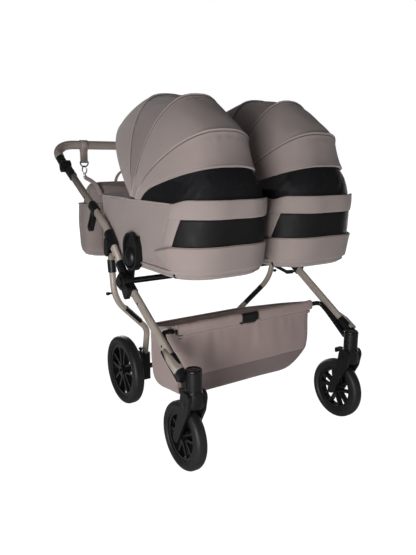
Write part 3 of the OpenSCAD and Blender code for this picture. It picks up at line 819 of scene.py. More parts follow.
def frame_tubes():
    """Smooth push tubes and rear legs, with the small rods, caps and rivets on the frame"""
    for name, k in SIDES:
        def route(*stations):
            return [at(k * x, y, z) for x, y, z in stations]

        path = filleted(route((TUBE_X, 324, 560), (TUBE_X, 440, 688.8), (TUBE_X, 775, 872.3)),
                        (0, 120, 0))
        piece = rod(f"push_tube_skin_{name}", path, oval(30, 20), "tube", up=Vector((0, -0.7, 0.7)))
        worn(piece, "upper_frame", f"push_tube_{name}")
        path = filleted(route((357, 412, 602), (349, 412, 438), (205, 455, 300), (190, 504, 190)),
                        (0, 130, 85, 0), 16)
        piece = rod(f"rear_leg_skin_{name}", path, ring(11, 28), "tube", up=Vector((0, 1, 0)))
        worn(piece, "rear_frame", f"rear_leg_{name}")
        path = route(*((x, 414, 462) for x in (354, 366, 367, 376, 377.5)))
        piece = rod(f"leg_peg_{name}", path, ring(3.4, 14), "plastic", sizes=(1, 1, 1.7, 1.7, 1.4))
        worn(piece, "rear_frame")
        path = smooth_path(route(
            (287, 124, 388), (310, 119, 393), (329, 108, 392), (335, 87, 377), (335, 54, 353),
            (334, 16, 324), (331, -16, 302)))
        piece = rod(f"leg_rod_{name}", path, ring(8.2, 18), "gloss", up=Vector((0, 0.5, 0.86)))
        worn(piece, "front_frame")
        top, low = route((357, 44, 364.9), (356, -28, 324.5))
        path = [top.lerp(low, s) for s in (0.0, 0.3, 0.36, 0.42, 0.7, 0.97, 1.0)]
        piece = rod(f"leg_end_{name}", path, squared(12.0, 15.4, 4, 40), "tube",
                    up=Vector((0, -0.535, 0.845)), sizes=(0.62, 0.86, 0.96, 1, 1, 1, 0.93))
        worn(piece, "front_frame")
        piece = stacked(f"caster_cap_{name}", k * CASTER_X, CASTER_Y,
                        [(z, r, r, 0) for z, r in CAP_LEVELS], "gloss")
        worn(piece, "front_frame")
    for name, x, places, body in RIVETS:
        spots = [(at(k * x, y, z), Vector((k, 0, 0))) for _, k in SIDES for y, z in places]
        piece = rivets(name, spots, bpy.context.scene.pram_sizes.rivet, "dark_metal")
        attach(piece, body)


# Panels on the cot wall: u runs round from one edge to the other, v down, both from 0 to 1


def band_edge(u, v):
    s = (u - 0.5) * 2 * (199 + 14 * v)
    rise = max(0.0, min(1.0, (205 - abs(s)) / 60))
    top = 787.5 + 12.5 * rise * rise * (3 - 2 * rise)
    return s, top + (748 - top) * v


def band_off(u, v):
    return 1.2 + 3.2 * sin(pi * min(1.0, 0.12 + 0.8 * v)) + 0.5 * sin(23 * u)


def strip_edge(u, v):
    outer, inner = 213 + 35 * v, 168 + 29 * v
    return outer + (inner - outer) * u, 749 - 79 * v


def strip_off(u, v):
    return 1.0 + 1.4 * sin(pi * u)


def window_edge(u, v):
    return (u - 0.5) * 2 * (170 + 30 * v), 751 - 89 * v


def flap_edge(u, v):
    reach = 287 - 92 * v ** 0.85
    t = (u - 0.5) * 2
    top = 666 + 5 * (1 - abs(t)) - 19 * max(0.0, abs(t) - 0.66) / 0.34
    return t * reach, top + (598 - top) * v


def flap_off(u, v, k):
    """Height of the flap, loose along its top edge and more so at its ends"""
    t = abs(u - 0.5) * 2
    loose = exp(-v * 3.0)
    return (3.2 + 4.5 * loose + 3.5 * loose * max(0.0, t - 0.8) / 0.2
            + 1.6 * sin(9.0 * u + 1.3 * k) * loose + 1.0 * sin(pi * v))


def cot_tub(name, k):
    """Tub with its inner wall, rim and floor as one skin"""
    c = k * COT_X
    around = span(-HALF_ROUND, HALF_ROUND, 193)[:-1]

    def level(z, off):
        return [tub(c, s, z, off) for s in around]

    def shrunk(share, z, off):
        middle = at(c, 228, z)
        return [middle + (p - middle) * share for p in level(z, off)]

    inner = FLOOR_Z + 15
    rows = [shrunk(0.02, inner, -9), shrunk(0.6, inner, -9), level(inner, -12)]
    rows += [level(z, -9) for z in (FLOOR_Z + 26, 660, 740, 778)]
    rows += [level(z, off) for z, off in ((785, -7.5), (788.5, -5.0), (788.5, -2.0), (785, 0.4))]
    for z in span(780, 600, 26):
        rows.append([tub(c, s, z, 1.6 * ripple(tub(c, s, z, 0), 11.0, 1.0 + k)) for s in around])
    rows += [level(z, 0) for z in (594, 586, 579, 574.5, 572.4)]
    rows += [shrunk(0.6, 572, -20), shrunk(0.02, 572, -20)]
    piece = lattice(f"cot_tub_skin_{name}", rows, "cloth", 0.0, wrap=True)
    worn(outward(piece), f"cot_{name}", f"cot_tub_{name}")


def cot_panels(name, k):
    """Rim band, window strips, vent window and drop flap on the head end"""
    c, body, skin = k * COT_X, f"cot_{name}", [f"cot_tub_skin_{name}"]

    def panel(part, slot, held, edge, finish, off, *sizes, **wave):
        piece = tub_patch(f"cot_{part}", c, edge, finish, off, *sizes, **wave)
        cloth_sheet(worn(piece, body))

    panel(f"band_{name}", "cloth", "stretched", band_edge, "cloth", band_off, 0.003, 120, 12)
    for side in (-1, 1):
        panel(f"strip_{name}_{'outer' if side == k else 'inner'}", "cloth", "stretched",
              lambda u, v: (side * strip_edge(u, v)[0], strip_edge(u, v)[1]), "cloth", strip_off,
              0.002, 10, 16)
    panel(f"window_{name}", "net", "stretched", window_edge, "window", lambda u, v: 0.9,
          0.0008, 90, 8, wave=0.4)
    panel(f"flap_{name}", "cloth", "hung", flap_edge, "cloth", lambda u, v: flap_off(u, v, k),
          0.0035, 150, 20, wave=0.8)


def cot_trim(name, k):
    """Piping, stitches, toggles and studs"""
    c, body = k * COT_X, f"cot_{name}"
    piping = ring(1000 * bpy.context.scene.pram_sizes.piping, 8)
    around = span(-HALF_ROUND, HALF_ROUND, 193)[:-1]
    across = span(0.0, 1.0, 120)
    base = tub_line(c, [(-HALF_ROUND, 597), (HALF_ROUND - 1, 597)], 3.2, 200)[:-1]
    pipes = [rod("base", base, piping, "pipe", closed=True),
             rod("foot", [tub(c, s, 584, 0.6) for s in around], piping, "pipe", closed=True)]
    for side in (-1, 1):
        pipes.append(rod("side", tub_line(c, [(side * 199, 787), (side * 252, 664)], 0.8, 30),
                         ring(1.5, 8), "pipe"))
    flap = [tub(c, *flap_edge(u, 0.0), flap_off(u, 0.0, k) - 1.6) for u in across]
    pipes.append(rod("flap", flap, ring(1.8, 8), "pipe"))
    band = [tub(c, *band_edge(u, 1.0), band_off(u, 1.0) - 0.6) for u in across]
    pipes.append(rod("band", band, ring(1.7, 8), "pipe"))
    for start, end in ((-520, -215), (215, 520)):
        rim = [tub(c, s, 787.0, 1.0) for s in span(start, end, 60)]
        pipes.append(rod("rim", rim, ring(2.2, 8), "pipe"))
    worn(joined(f"cot_piping_{name}", pipes), body)

    rows = [[tub(c, *band_edge(u, v), band_off(u, v) + 0.3) for u in span(0.0, 1.0, 140)]
            for v in (0.17, 0.83)]
    rows.append([tub(c, s, 603, 1.0) for s in span(-190, 190, 160)])
    for side in (-1, 1):
        rows.append(tub_line(c, [(side * 207, 750), (side * 243, 672)], 2.2, 30))
    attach(stitches(f"cot_stitches_{name}", rows), body)

    toggles, studs = [], []
    for side in (-1, 1):
        p, q = tub(c, side * 190, 588, 4.0), tub(c, side * 190, 577, 3.0)
        toggles.append(rod("toggle", [p, (p + q) / 2, q], ring(3.2, 10), "plastic",
                           sizes=(0.8, 1, 0.7)))
        studs.append((tub(c, side * 477, 789, 2.0), Vector((side, 0, 0.3))))
    worn(joined(f"cot_toggles_{name}", toggles), body)
    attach(rivets(f"cot_studs_{name}", studs, 0.0045, "metal"), body)


def cot_cover(name, k):
    """Foot cover, crowned and raised along its free edge"""
    c, body = k * COT_X, f"cot_{name}"
    rows = []
    for y in span(STUD_Y + 26, COT_BACK - 1, 30):
        into = max(0.0, y - (COT_BACK - BACK_R))
        half = COT_HALF - 1 - (BACK_R - sqrt(max(0.0, BACK_R ** 2 - into ** 2)))
        row = []
        for x in span(-1.0, 1.0, 41):
            fall = 1 - abs(x) ** 3
            z = 789 + 9 * fall + 2.2 * fall * ripple(Vector((x, y / 300, k)), 3.0)
            z += 5.0 * fall * exp(-((y - STUD_Y - 60) / 18) ** 2)
            row.append(at(c + x * half, y, z))
        rows.append(row)
    piece = lattice(f"cot_cover_skin_{name}", rows, "cloth", 0.004)
    worn(piece, body, f"cot_cover_{name}")
    cloth_sheet(piece)
    round_back = span(480, HALF_ROUND, 80) + span(-HALF_ROUND, -480, 80)[1:]
    rim = [tub(c, s, 789.5, -1.5) for s in round_back]
    worn(rod(f"cot_cover_piping_{name}", rim, ring(2.2, 8), "pipe"), body)


def swelled(piece, most=0.008):
    """Cushion blown up by a short cloth run, with its movement capped"""
    settle(piece, ("REMESH", dict(mode="VOXEL", voxel_size=0.006, use_smooth_shade=True)))
    start = [v.co.copy() for v in piece.data.vertices]
    cloth = piece.modifiers.new("swell", "CLOTH")
    cloth.settings.quality = 4
    cloth.settings.use_pressure = True
    cloth.settings.uniform_pressure_force = 4.0
    cloth.settings.effector_weights.gravity = 0.0
    cloth.point_cache.frame_start, cloth.point_cache.frame_end = 1, 20
    scene = bpy.context.scene
    for step in range(1, 21):
        scene.frame_set(step)
    settle(piece)
    scene.frame_set(1)
    for vertex, old in zip(piece.data.vertices, start):
        moved = vertex.co - old
        if moved.length > most:
            vertex.co = old + moved * (most / moved.length)
    settle(piece, ("SUBSURF", dict(levels=1, render_levels=1)))
    layer = piece.data.uv_layers.new(name="Cut")
    for loop in piece.data.loops:
        place = piece.data.vertices[loop.vertex_index].co
        layer.data[loop.index].uv = (place.x, place.y)
    return piece


# Mattress: share of the plan and height of each level
MATTRESS_LEVELS = ((0.02, 0.0), (0.7, 0.0), (0.97, 1.5), (1.0, 8.0), (1.0, 24.0), (0.97, 31.0),
                   (0.8, 35.0), (0.5, 37.0), (0.02, 37.5))
MATTRESS_Y = 208


def mattress_pieces():
    """Crowned mattresses, each swelled by cloth"""
    outline = []
    for s in span(-HALF_ROUND, HALF_ROUND, 97)[:-1]:
        x, y, _, _ = plan(s)
        outline.append((x * 0.87, MATTRESS_Y + (y - 247.5) * 0.80))
    rows = [[at(x * share, MATTRESS_Y + (y - MATTRESS_Y) * share, FLOOR_Z + 16.5 + z)
             for x, y in outline] for share, z in MATTRESS_LEVELS]
    for name, k in SIDES:
        moved = [[p + Vector((k * COT_X / 1000, 0, 0)) for p in row] for row in rows]
        piece = lattice(f"mattress_skin_{name}", moved, "lining", 0.0, wrap=True)
        swelled(outward(piece))
        worn(piece, f"cot_{name}", f"cot_mattress_{name}")


# Hood seams, in degrees up from forward
HEM, LOW_SEAM, HEAD_BOW, MID_BOW, BRIM = 15.5, 33.8, 65.5, 98.0, 134.0
# Angle, half width, radius and roundness of the hood at each seam
HOOD_SEAMS = ((HEM, 155.0, 327.0, 0.72), (LOW_SEAM, 157.0, 338.0, 0.75),
              (HEAD_BOW, 156.0, 323.0, 0.84), (MID_BOW, 158.5, 316.0, 0.80),
              (BRIM, 160.0, 350.0, 0.86))


def hood_form(theta):
    """Half width, radius and roundness of the hood at an angle up from forward"""
    if theta <= HEM:
        return HOOD_SEAMS[0][1:]
    for low, high in zip(HOOD_SEAMS, HOOD_SEAMS[1:]):
        if theta <= high[0]:
            k = (theta - low[0]) / (high[0] - low[0])
            return tuple(a + (b - a) * k for a, b in zip(low[1:], high[1:]))
    return HOOD_SEAMS[-1][1:]


def arch(c, t, theta, out=0.0, wide=0.0):
    """Point of a hood arch: t round the arch, theta up from forward, in degrees"""
    half, radius, power = hood_form(theta)
    a, b = radians(t), radians(theta)
    x = (half + wide) * copysign(abs(cos(a)) ** power, cos(a))
    r = (radius + out) * sin(a) ** power
    foot = max(0.0, 1 - r / 130) ** 2
    lean = max(0.0, (HEAD_BOW - theta) / 50)
    return at(c + x, STUD_Y - r * cos(b) - 46 * lean * foot,
              STUD_Z + r * sin(b) - (3 + 11 * lean) * foot)


def arched(c, theta, out, wide=0.0, ends=0):
    """Path over a hood arch: out(t) is its height over the bow, in millimetres"""
    return [arch(c, t, theta, out(t), wide) for t in ROUND[ends:len(ROUND) - ends]]


def crown(t):
    """Share that fades to nothing at the feet of an arch"""
    return sin(radians(t)) ** 2


ROUND = [0.1, 1.0, 2.5, 4.5, 7.0] + span(10.0, 170.0, 97) + [173.0, 175.5, 177.5, 179.0, 179.9]


def gore(name, c, thetas, out, finish, wide=0.0):
    """Hood panel: out(theta, t) is its swell in millimetres"""
    rows = [arched(c, theta, lambda t: out(theta, t), wide) for theta in thetas]
    return lattice(name, rows, finish, 0.004)


def drawn(theta, low, high, hollow, hem=1.0):
    """Cloth drawn flat between two bows, with a ridge over each bow"""
    k = max(0.0, min(1.0, (theta - low) / (high - low)))
    made = -hollow * sin(pi * k)
    for edge, share, side in ((low, hem, 1), (high, 1.0, -1)):
        made += share * 2.4 * exp(-((theta - edge) / 0.8) ** 2)
        made -= share * exp(-((theta - edge - 2.2 * side) / 1.2) ** 2)
    return made


def fanned(piece, name):
    """Bakes a hood piece's transform into its mesh"""
    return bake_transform(piece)


def hood_head(name, k):
    """Head gore with a ridged seam, piping and a lifted hem"""
    puff = 1000 * bpy.context.scene.pram_sizes.hood_puff
    c, body = k * COT_X, f"cot_{name}"

    def out(theta, t):
        lower = theta < LOW_SEAM
        low, high = (HEM, LOW_SEAM) if lower else (LOW_SEAM, HEAD_BOW)
        flare = 5.0 * max(0.0, (21.0 - theta) / 5.0) ** 2 * crown(t)
        wrinkle = 3.2 * rough(t / 22, theta / 13, 7.0 + k) * crown(t)
        pucker = 2.2 * rough(t / 2.8, theta / 8, 3.0 + k)
        pucker *= exp(-((theta - 31.0) / 3.0) ** 2) + exp(-((theta - 62.5) / 3.0) ** 2)
        ridge = drawn(theta, low, high, puff, 0.3 if lower else 1.0)
        return (ridge + pucker) * crown(t) + flare + wrinkle

    piece = gore(f"hood_head_skin_{name}", c, span(HEM, HEAD_BOW, 110), out, "cloth")
    worn(piece, body, f"hood_head_{name}")
    cloth_sheet(piece)

    pipes = []
    # At each seam: piping, partly painted highlight, and a thin dark rod of painted shadow in the
    # fold below it
    for theta in (LOW_SEAM, 65.2):
        pipe = arched(c, theta + 0.2, lambda t: out(theta, t) + 3.4, 3.2)
        pipes.append(rod("pipe", pipe, ring(3.2, 12), "pipe"))
        fold = arched(c, theta - 0.7, lambda t: out(theta - 0.7, t) + 3.8, 4.2)
        pipes.append(rod("fold", fold, ring(1.7, 8), "shadow"))
    pipes.append(rod("hem", arched(c, 16.2, lambda t: out(16.0, t) - 2.0), ring(4.4, 12), "cloth"))
    worn(joined(f"hood_head_piping_{name}", pipes), body)
    rows = [arched(c, theta, lambda t: out(theta, t) + 4.2, 4.0, 3) for theta in (35.2, 63.8, 17.6)]
    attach(stitches(f"hood_head_stitches_{name}", rows), body)


# How far round the rim the net is sewn, each way from the front centre
NET_REACH = 441.5


def hood_net(name, k):
    """Net from the hood's hem down to the cot rim, slightly creased"""
    c = k * COT_X
    rows = []
    for v in span(0.0, 1.0, 24):
        row = []
        for j, t in enumerate(ROUND):
            top = arch(c, 180 - t, 17.0, -7.0, -4.0)
            x, y, nx, ny = plan(-NET_REACH + 2 * NET_REACH * j / (len(ROUND) - 1))
            low = at(c + x - 5 * nx, y - 5 * ny, 788.0)
            crease = 6.5 * rough(t / 4.5 + 3 * v, v * 1.4, 5.0 + k)
            swell = (8.0 + crease) * sin(pi * v) * crown(t)
            row.append(top.lerp(low, v) + Vector((nx, ny, 0)) * swell / 1000)
        rows.append(row)
    piece = lattice(f"hood_net_{name}", rows, "net", 0.0008)
    worn(piece, f"cot_{name}")
    cloth_sheet(piece)


def hood_mid(name, k):
    """Middle gore, tucked under the head gore"""
    c, start = k * COT_X, 61.0

    def out(theta, t):
        crease = 4.0 * rough(t / 9, theta / 22, 4.0 + k)
        crease += 2.8 * rough(t / 3.8, theta / 13, 8.0 + k)
        return -6.0 + (drawn(theta, start, MID_BOW, 9.0) + crease * crown(t)) * crown(t)

    # The middle gore takes the cloth painted darker as shade
    piece = gore(f"hood_mid_skin_{name}", c, span(start, MID_BOW, 80), out, "shade", -5.0)
    fanned(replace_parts(piece, f"hood_mid_{name}"), name)
    cloth_sheet(piece)
    # Piping along the brim seam, and under it a dark rod of painted shadow in the fold
    pipe = joined(f"hood_mid_piping_{name}", [
        rod("pipe", arched(c, 97.6, lambda t: 1.4, 0.8), ring(2.8, 10), "pipe"),
        rod("fold", arched(c, 96.7, lambda t: out(96.7, t) + 4.0, 0.6), ring(1.7, 8), "shadow")])
    fanned(pipe, name)


def hood_brim(name, k):
    """Brim gore with its piped edge"""
    c = k * COT_X

    def out(theta, t):
        wrinkle = 2.0 * rough(t / 24, theta / 13, 9.0 + k)
        return -1.5 + (drawn(theta, 97.0, BRIM, 8.0) + wrinkle) * crown(t)

    piece = gore(f"hood_brim_skin_{name}", c, span(95.5, BRIM, 80), out, "cloth")
    fanned(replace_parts(piece, f"hood_brim_{name}"), name)
    cloth_sheet(piece)
    pipe = rod(f"hood_brim_piping_{name}", arched(c, 133.6, lambda t: out(BRIM, t) - 1.0),
               ring(3.0, 8), "cloth")
    fanned(pipe, name)
    rows = [arched(c, 131.0, lambda t: out(131.0, t) + 4.2, 4.0, 3)]
    fanned(stitches(f"hood_brim_stitches_{name}", rows), name)


BASKET_FRONT, BASKET_BACK, BASKET_LOW = 108.0, 436.0, 138.0
BASKET_HALF, BASKET_HIGH = 282, 402.0
CASING_Z = 395


def basket_rim():
    """Plan of the basket rim with eased corners: (point, outward direction) pairs"""
    corners = [(-BASKET_HALF, BASKET_FRONT), (BASKET_HALF, BASKET_FRONT), (BASKET_HALF, 270),
               (196, BASKET_BACK), (-196, BASKET_BACK), (-BASKET_HALF, 270)]
    points = filleted([at(x, y, 0) for x, y in corners + corners[:2]],
                      (0, 26, 70, 40, 40, 70, 26, 0), 8)[1:-1]
    loop, spaced, lengths = points + [points[0]], [], [0.0]
    for a, b in zip(loop, loop[1:]):
        lengths.append(lengths[-1] + (b - a).length)
    count = 200
    for k in range(count):
        want = lengths[-1] * k / count
        i = max(j for j in range(len(lengths) - 1) if lengths[j] <= want)
        gap = lengths[i + 1] - lengths[i]
        spaced.append(loop[i].lerp(loop[i + 1], (want - lengths[i]) / gap if gap else 0.0))
    made = []
    for k, p in enumerate(spaced):
        along = (spaced[(k + 1) % count] - spaced[k - 1]).normalized()
        made.append((p, Vector((along.y, -along.x, 0))))
    return made


def basket_top(y):
    """Height of the rim at a station"""
    start = BASKET_FRONT + 10
    return BASKET_HIGH - 84.0 * max(0.0, y - start) / (BASKET_BACK - start)


def basket_point(p, out, drop, side=0.0, front=0.0, off=0.0):
    """Point under rim point p: drop is the share of the depth, side and front draw the plan in"""
    y = p.y * 1000 - SHIFT
    top = basket_top(y)
    z = top + (BASKET_LOW - top) * drop
    k = (BASKET_BACK - y) / (BASKET_BACK - BASKET_FRONT)
    side *= 0.35 + 0.65 * k
    new_y = BASKET_BACK - side - (BASKET_BACK - side - BASKET_FRONT - front) * k
    new_x = p.x * 1000 * (1 - side / BASKET_HALF)
    facing = max(0.0, -out.y)
    hang = max(0.0, 1 - abs(drop - 0.3) / 0.33) * facing
    fold = 4.6 * rough(p.x * 24, drop * 1.6, 2.0) * hang
    fold += 2.2 * rough(p.x * 8, p.y * 8, drop * 3.5) * min(1.0, drop * 6)
    fold += 3.0 * rough(p.x * 44, drop, 4.0) * facing * exp(-((drop - 0.2) / 0.08) ** 2)
    fold += off
    return at(new_x + out.x * fold, new_y + out.y * fold, z)


# Share of depth, then how far the sides and the front are drawn in, in millimetres
BASKET_LEVELS = ((0.0, 0, 0), (0.03, 0, 0), (0.07, 0, 0), (0.12, 0, 0), (0.17, 0, 0), (0.23, 0, 0),
                 (0.3, 0, 0), (0.37, 0, 0), (0.44, 0.3, 0), (0.5, 1, 0), (0.56, 2.5, 0.3),
                 (0.61, 4, 1.0), (0.635, 5, 3.0), (0.67, 7, 8), (0.73, 11, 17), (0.8, 18, 28),
                 (0.87, 29, 39), (0.92, 41, 47), (0.955, 53, 55), (0.98, 67, 64), (0.995, 84, 78),
                 (1.0, 104, 98))
# Tuck under the casing: share of depth, height over the cloth, radius and finish of each line; the
# outer two are dark lines of painted shadow, the middle one piping with a painted highlight
TUCK = ((0.097, 0.6, 2.0, "shadow"), (0.1135, 1.2, 3.2, "pipe"), (0.131, 0.2, 1.8, "shadow"))
# First row of the panel under the front, painted darker as shade
SHADED_UNDER_ROW = 12


def basket_bowl(rim):
    """Cloth bowl, with painted shade under the front and painted light inside"""
    rows = [[basket_point(p, out, *level) for p, out in rim] for level in BASKET_LEVELS]
    middle = at(0, 290, BASKET_LOW - 1.5)
    for share in (0.5, 0.02):
        rows.append([middle + (p - middle) * share for p in rows[len(BASKET_LEVELS) - 1]])
    # The basket cloth is lighter and warmer than the main cloth, partly painted light
    bowl = lattice("basket_bowl", rows, "basket", 0.003, wrap=True)
    bowl.data.materials.append(FINISH["under"])
    bowl.data.materials.append(FINISH["inside"])
    heart = at(0, 270, 330)
    cells = (len(rows) - 1) * len(rim)
    for face in bowl.data.polygons:
        row, column = divmod(face.index % cells, len(rim))
        # Faces turned inward take the cloth painted light
        if face.normal.dot(face.center - heart) < 0:
            face.material_index = 2
        else:
            # Front-facing faces in the lower rows take the cloth painted darker as shade
            low = SHADED_UNDER_ROW <= row < len(BASKET_LEVELS) - 1
            face.material_index = int(low and rim[column][1].y < -0.6)
    worn(bowl, "rear_frame", "basket")
    cloth_sheet(bowl)


def basket_pieces():
    """Cloth basket with a cased front hem, slung from its front bar and the rear legs"""
    rim = basket_rim()
    basket_bowl(rim)
    bar_y = BASKET_FRONT + 2
    pipes, seams = [], []
    case = [(16 * copysign(abs(cos(a)) ** 0.6, cos(a)), 11 * sin(a))
            for a in span(0, 2 * pi, 25)[:-1]]
    for low, high in ((-281, -36), (36, 281)):
        across = span(low, high, 70)
        path = [at(x, bar_y, CASING_Z + 1.6 * rough(x / 50, 0, 0)) for x in across]
        swell = [1.0 + 0.10 * rough(x / 20, 3, 0) for x in across]
        swell[0] = swell[-1] = 0.94
        pipes.append(rod("casing", path, case, "basket", sizes=swell))
        for x in (low, high):
            edge = [at(x, bar_y + v, CASING_Z + u) for u, v in case]
            pipes.append(rod("edge", edge, ring(1.5, 8), "trim", closed=True,
                             up=Vector((1, 0, 0))))
        front = [(at(x, BASKET_FRONT, 0), Vector((0, -1, 0))) for x in across[1:-1]]
        for drop, off, r, finish in TUCK:
            pipes.append(rod("tuck", [basket_point(p, out, drop, 0, 0, off) for p, out in front],
                             ring(r, 10), finish))
        seams.append([basket_point(p, out, TUCK[1][0], 0, 0, 4.5) for p, out in front])
    pipes.append(rod("grip", [at(x, bar_y, 393) for x in span(-44, 44, 8)],
                     [(0.97 * u, 0.9 * v) for u, v in case], "plastic"))
    pipes.append(rod("patch", [at(x, BASKET_FRONT - 0.4, 379.5) for x in span(-47, 47, 8)],
                     squared(6.5, 3.4, 4, 16), "plastic", sizes=[0.7] + [1.0] * 6 + [0.7]))
    for k in (-1, 1):
        pipes.append(rod("bar_end", [at(k * x, bar_y, 388) for x in (278, 281.5, 283)],
                         ring(10, 20), "plastic", sizes=(1.0, 1.0, 0.8)))
    pipes.append(rod("lip", [at(x, BASKET_FRONT - 1.6, 372.5) for x in span(-46, 46, 20)],
                     ring(3.4, 10, 0.6), "trim"))
    back = [basket_point(p, out, 0.0) + Vector((0, 0, 0.001)) for p, out in rim
            if p.y * 1000 - SHIFT > BASKET_FRONT + 14]
    pipes.append(rod("rim", back, ring(4.0, 10), "cloth"))
    for level in ((0.628, 4.8, 2.4, 0.8), (0.965, 58, 58, 0.8)):
        pipes.append(rod("seam", [basket_point(p, out, *level) for p, out in rim],
                         ring(1.7, 8), "pipe", closed=True))
    worn(joined("basket_trim", pipes), "rear_frame")
    seams.append([basket_point(p, out, 0.605, 3.9, 0.9, 0.4) for p, out in rim])
    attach(stitches("basket_stitches", seams), "rear_frame")


# Handle joint, and the grip's tilt from level, half width, start and reach from the joint and bend
JOINT_Y, JOINT_Z = 800, 886
GRIP_TILT = radians(34.0)
GRIP_HALF, GRIP_START, GRIP_REACH, GRIP_BEND = 364, 58, 150, 85
GRIP_R = 17.5


def handle_pieces():
    """Leatherette grip with its sewn seam"""
    corners = [at(x, JOINT_Y + u * cos(GRIP_TILT), JOINT_Z + u * sin(GRIP_TILT))
               for x, u in ((-GRIP_HALF, GRIP_START), (-GRIP_HALF, GRIP_REACH),
                            (GRIP_HALF, GRIP_REACH), (GRIP_HALF, GRIP_START))]
    route = filleted(corners, (0, GRIP_BEND, GRIP_BEND, 0), 16)
    dense = [route[0].lerp(route[1], t) for t in (0.0, 0.02, 0.05, 0.12, 0.5)] + route[1:17]
    dense += [route[17].lerp(route[18], k / 30) for k in range(31)] + route[19:-1]
    dense += [route[-2].lerp(route[-1], t) for t in (0.5, 0.88, 0.95, 0.98, 1.0)]
    sizes = [0.93, 0.98, 1.0] + [1.0] * (len(dense) - 6) + [1.0, 0.98, 0.93]
    up = Vector((0, -sin(GRIP_TILT), cos(GRIP_TILT)))
    grip = rod("handle_grip_skin", dense, ring(GRIP_R, 28), "leather", up=up, sizes=sizes)
    worn(grip, "handle", "handle_grip")
    low = [p - up * 0.0176 for p in dense[2:-2]]
    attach(stitches("handle_seam", [low]), "handle")


BAG_FOOT, BAG_TALL, BAG_HALF, BAG_DEEP = 512, 310, 262.0, 60
# Powers that square the bag's plan across and along
BAG_SQUARE_X, BAG_SQUARE_Y = 0.42, 0.55
# Height and size of each level of the bag
BAG_LEVELS = ((512, 0.78), (515, 0.88), (522, 0.95), (536, 0.985), (562, 1.0), (605, 1.0),
              (650, 0.995), (680, 0.985), (710, 0.97), (740, 0.95), (770, 0.925), (792, 0.895),
              (806, 0.86), (815, 0.80), (820, 0.68), (821.5, 0.45), (822, 0.02))


def bag_point(a, z, share, off=0.0):
    """Point on the bag: a is the angle round it, share its size at height z"""
    ca, sa = cos(a), sin(a)
    x = BAG_HALF * copysign(abs(ca) ** BAG_SQUARE_X, ca)
    y = BAG_DEEP * copysign(abs(sa) ** BAG_SQUARE_Y, sa)
    tall = (z - BAG_FOOT) / BAG_TALL
    sag = 9.0 * max(0.0, tall - 0.6) / 0.4 * (1 - (x / BAG_HALF) ** 2)
    wrinkle = 4.0 * rough(x / 70, y / 40, z / 90) * sin(pi * min(1.0, tall))
    grow = share + (off + wrinkle) / BAG_HALF
    deep = share + (off + wrinkle) / BAG_DEEP
    return at(x * grow, BAR_Y - 19 + y * deep, z - sag)


def bag_share(z):
    """Size of the bag at a height"""
    for (z0, s0), (z1, s1) in zip(BAG_LEVELS, BAG_LEVELS[1:]):
        if z <= z1:
            return s0 + (s1 - s0) * (z - z0) / (z1 - z0)
    return BAG_LEVELS[-1][1]


def bag_body():
    """Shell of the bag with its pockets, zip and piping; returns the seams to stitch"""
    around = span(0.0, 2 * pi, 161)[:-1]
    levels = ((BAG_FOOT, 0.02), (BAG_FOOT, 0.5)) + BAG_LEVELS
    rows = [[bag_point(a, z, share) for a in around] for z, share in levels]
    shell = lattice("bag_shell", rows, "bag", 0.0, wrap=True)
    worn(outward(shell), "bag", "bag_body")

    trim = []
    for name, k in SIDES:
        rows = []
        for v in span(0.0, 1.0, 20):
            z = 524 + 208 * v
            row = []
            for u in span(-1.0, 1.0, 61):
                a = (0 if k > 0 else pi) + u * 1.02
                edge = (1 - u ** 6) * min(1.0, 0.1 + v * 5.0) ** 0.5 * (5.0 + 10.0 * v * v)
                gather = 2.2 * sin(u * 34) * exp(-(1 - v) * 4.0) * (1 - u ** 4)
                row.append(bag_point(a, z, bag_share(z), 1.0 + edge + gather))
            rows.append(row)
        pocket = lattice(f"bag_pocket_{name}", rows, "bag", 0.003)
        cloth_sheet(worn(pocket, "bag"))
        trim.append(rod("hem", rows[-1], ring(2.8, 8), "cloth"))
        # Dark lines of painted shade along the pocket's sides
        for j in (0, -1):
            trim.append(rod("side", [row[j] for row in rows], ring(2.0, 8), "under"))

    half = 178.0
    rows = []
    for v in span(0.0, 1.0, 16):
        z = 545 + 185 * v
        row = []
        for x in span(-half, half, 50):
            plan_x = copysign(abs(x / BAG_HALF) ** (1 / BAG_SQUARE_X), x)
            edge = (1 - (x / half) ** 8) * sin(pi * min(1.0, 0.06 + v * 0.9)) ** 0.4
            row.append(bag_point(acos(max(-1, min(1, plan_x))), z, bag_share(z), 1.2 + 7.0 * edge))
        rows.append(row)
    pocket = lattice("bag_front_pocket", rows, "bag", 0.003)
    cloth_sheet(worn(pocket, "bag"))
    trim.append(rod("flap", rows[-1], ring(2.4, 8), "pipe"))
    for part, z, share, off, r, finish in (("zip", 811, 0.826, 1.0, 2.6, "trim"),
                                           ("base", 522, 0.95, 0.8, 2.2, "pipe")):
        trim.append(rod(part, [bag_point(a, z, share, off) for a in around], ring(r, 8), finish,
                        closed=True))
    worn(joined("bag_trim", trim), "bag")
    return [[p + Vector((0, 0.0035, 0)) for p in rows[-3]]]


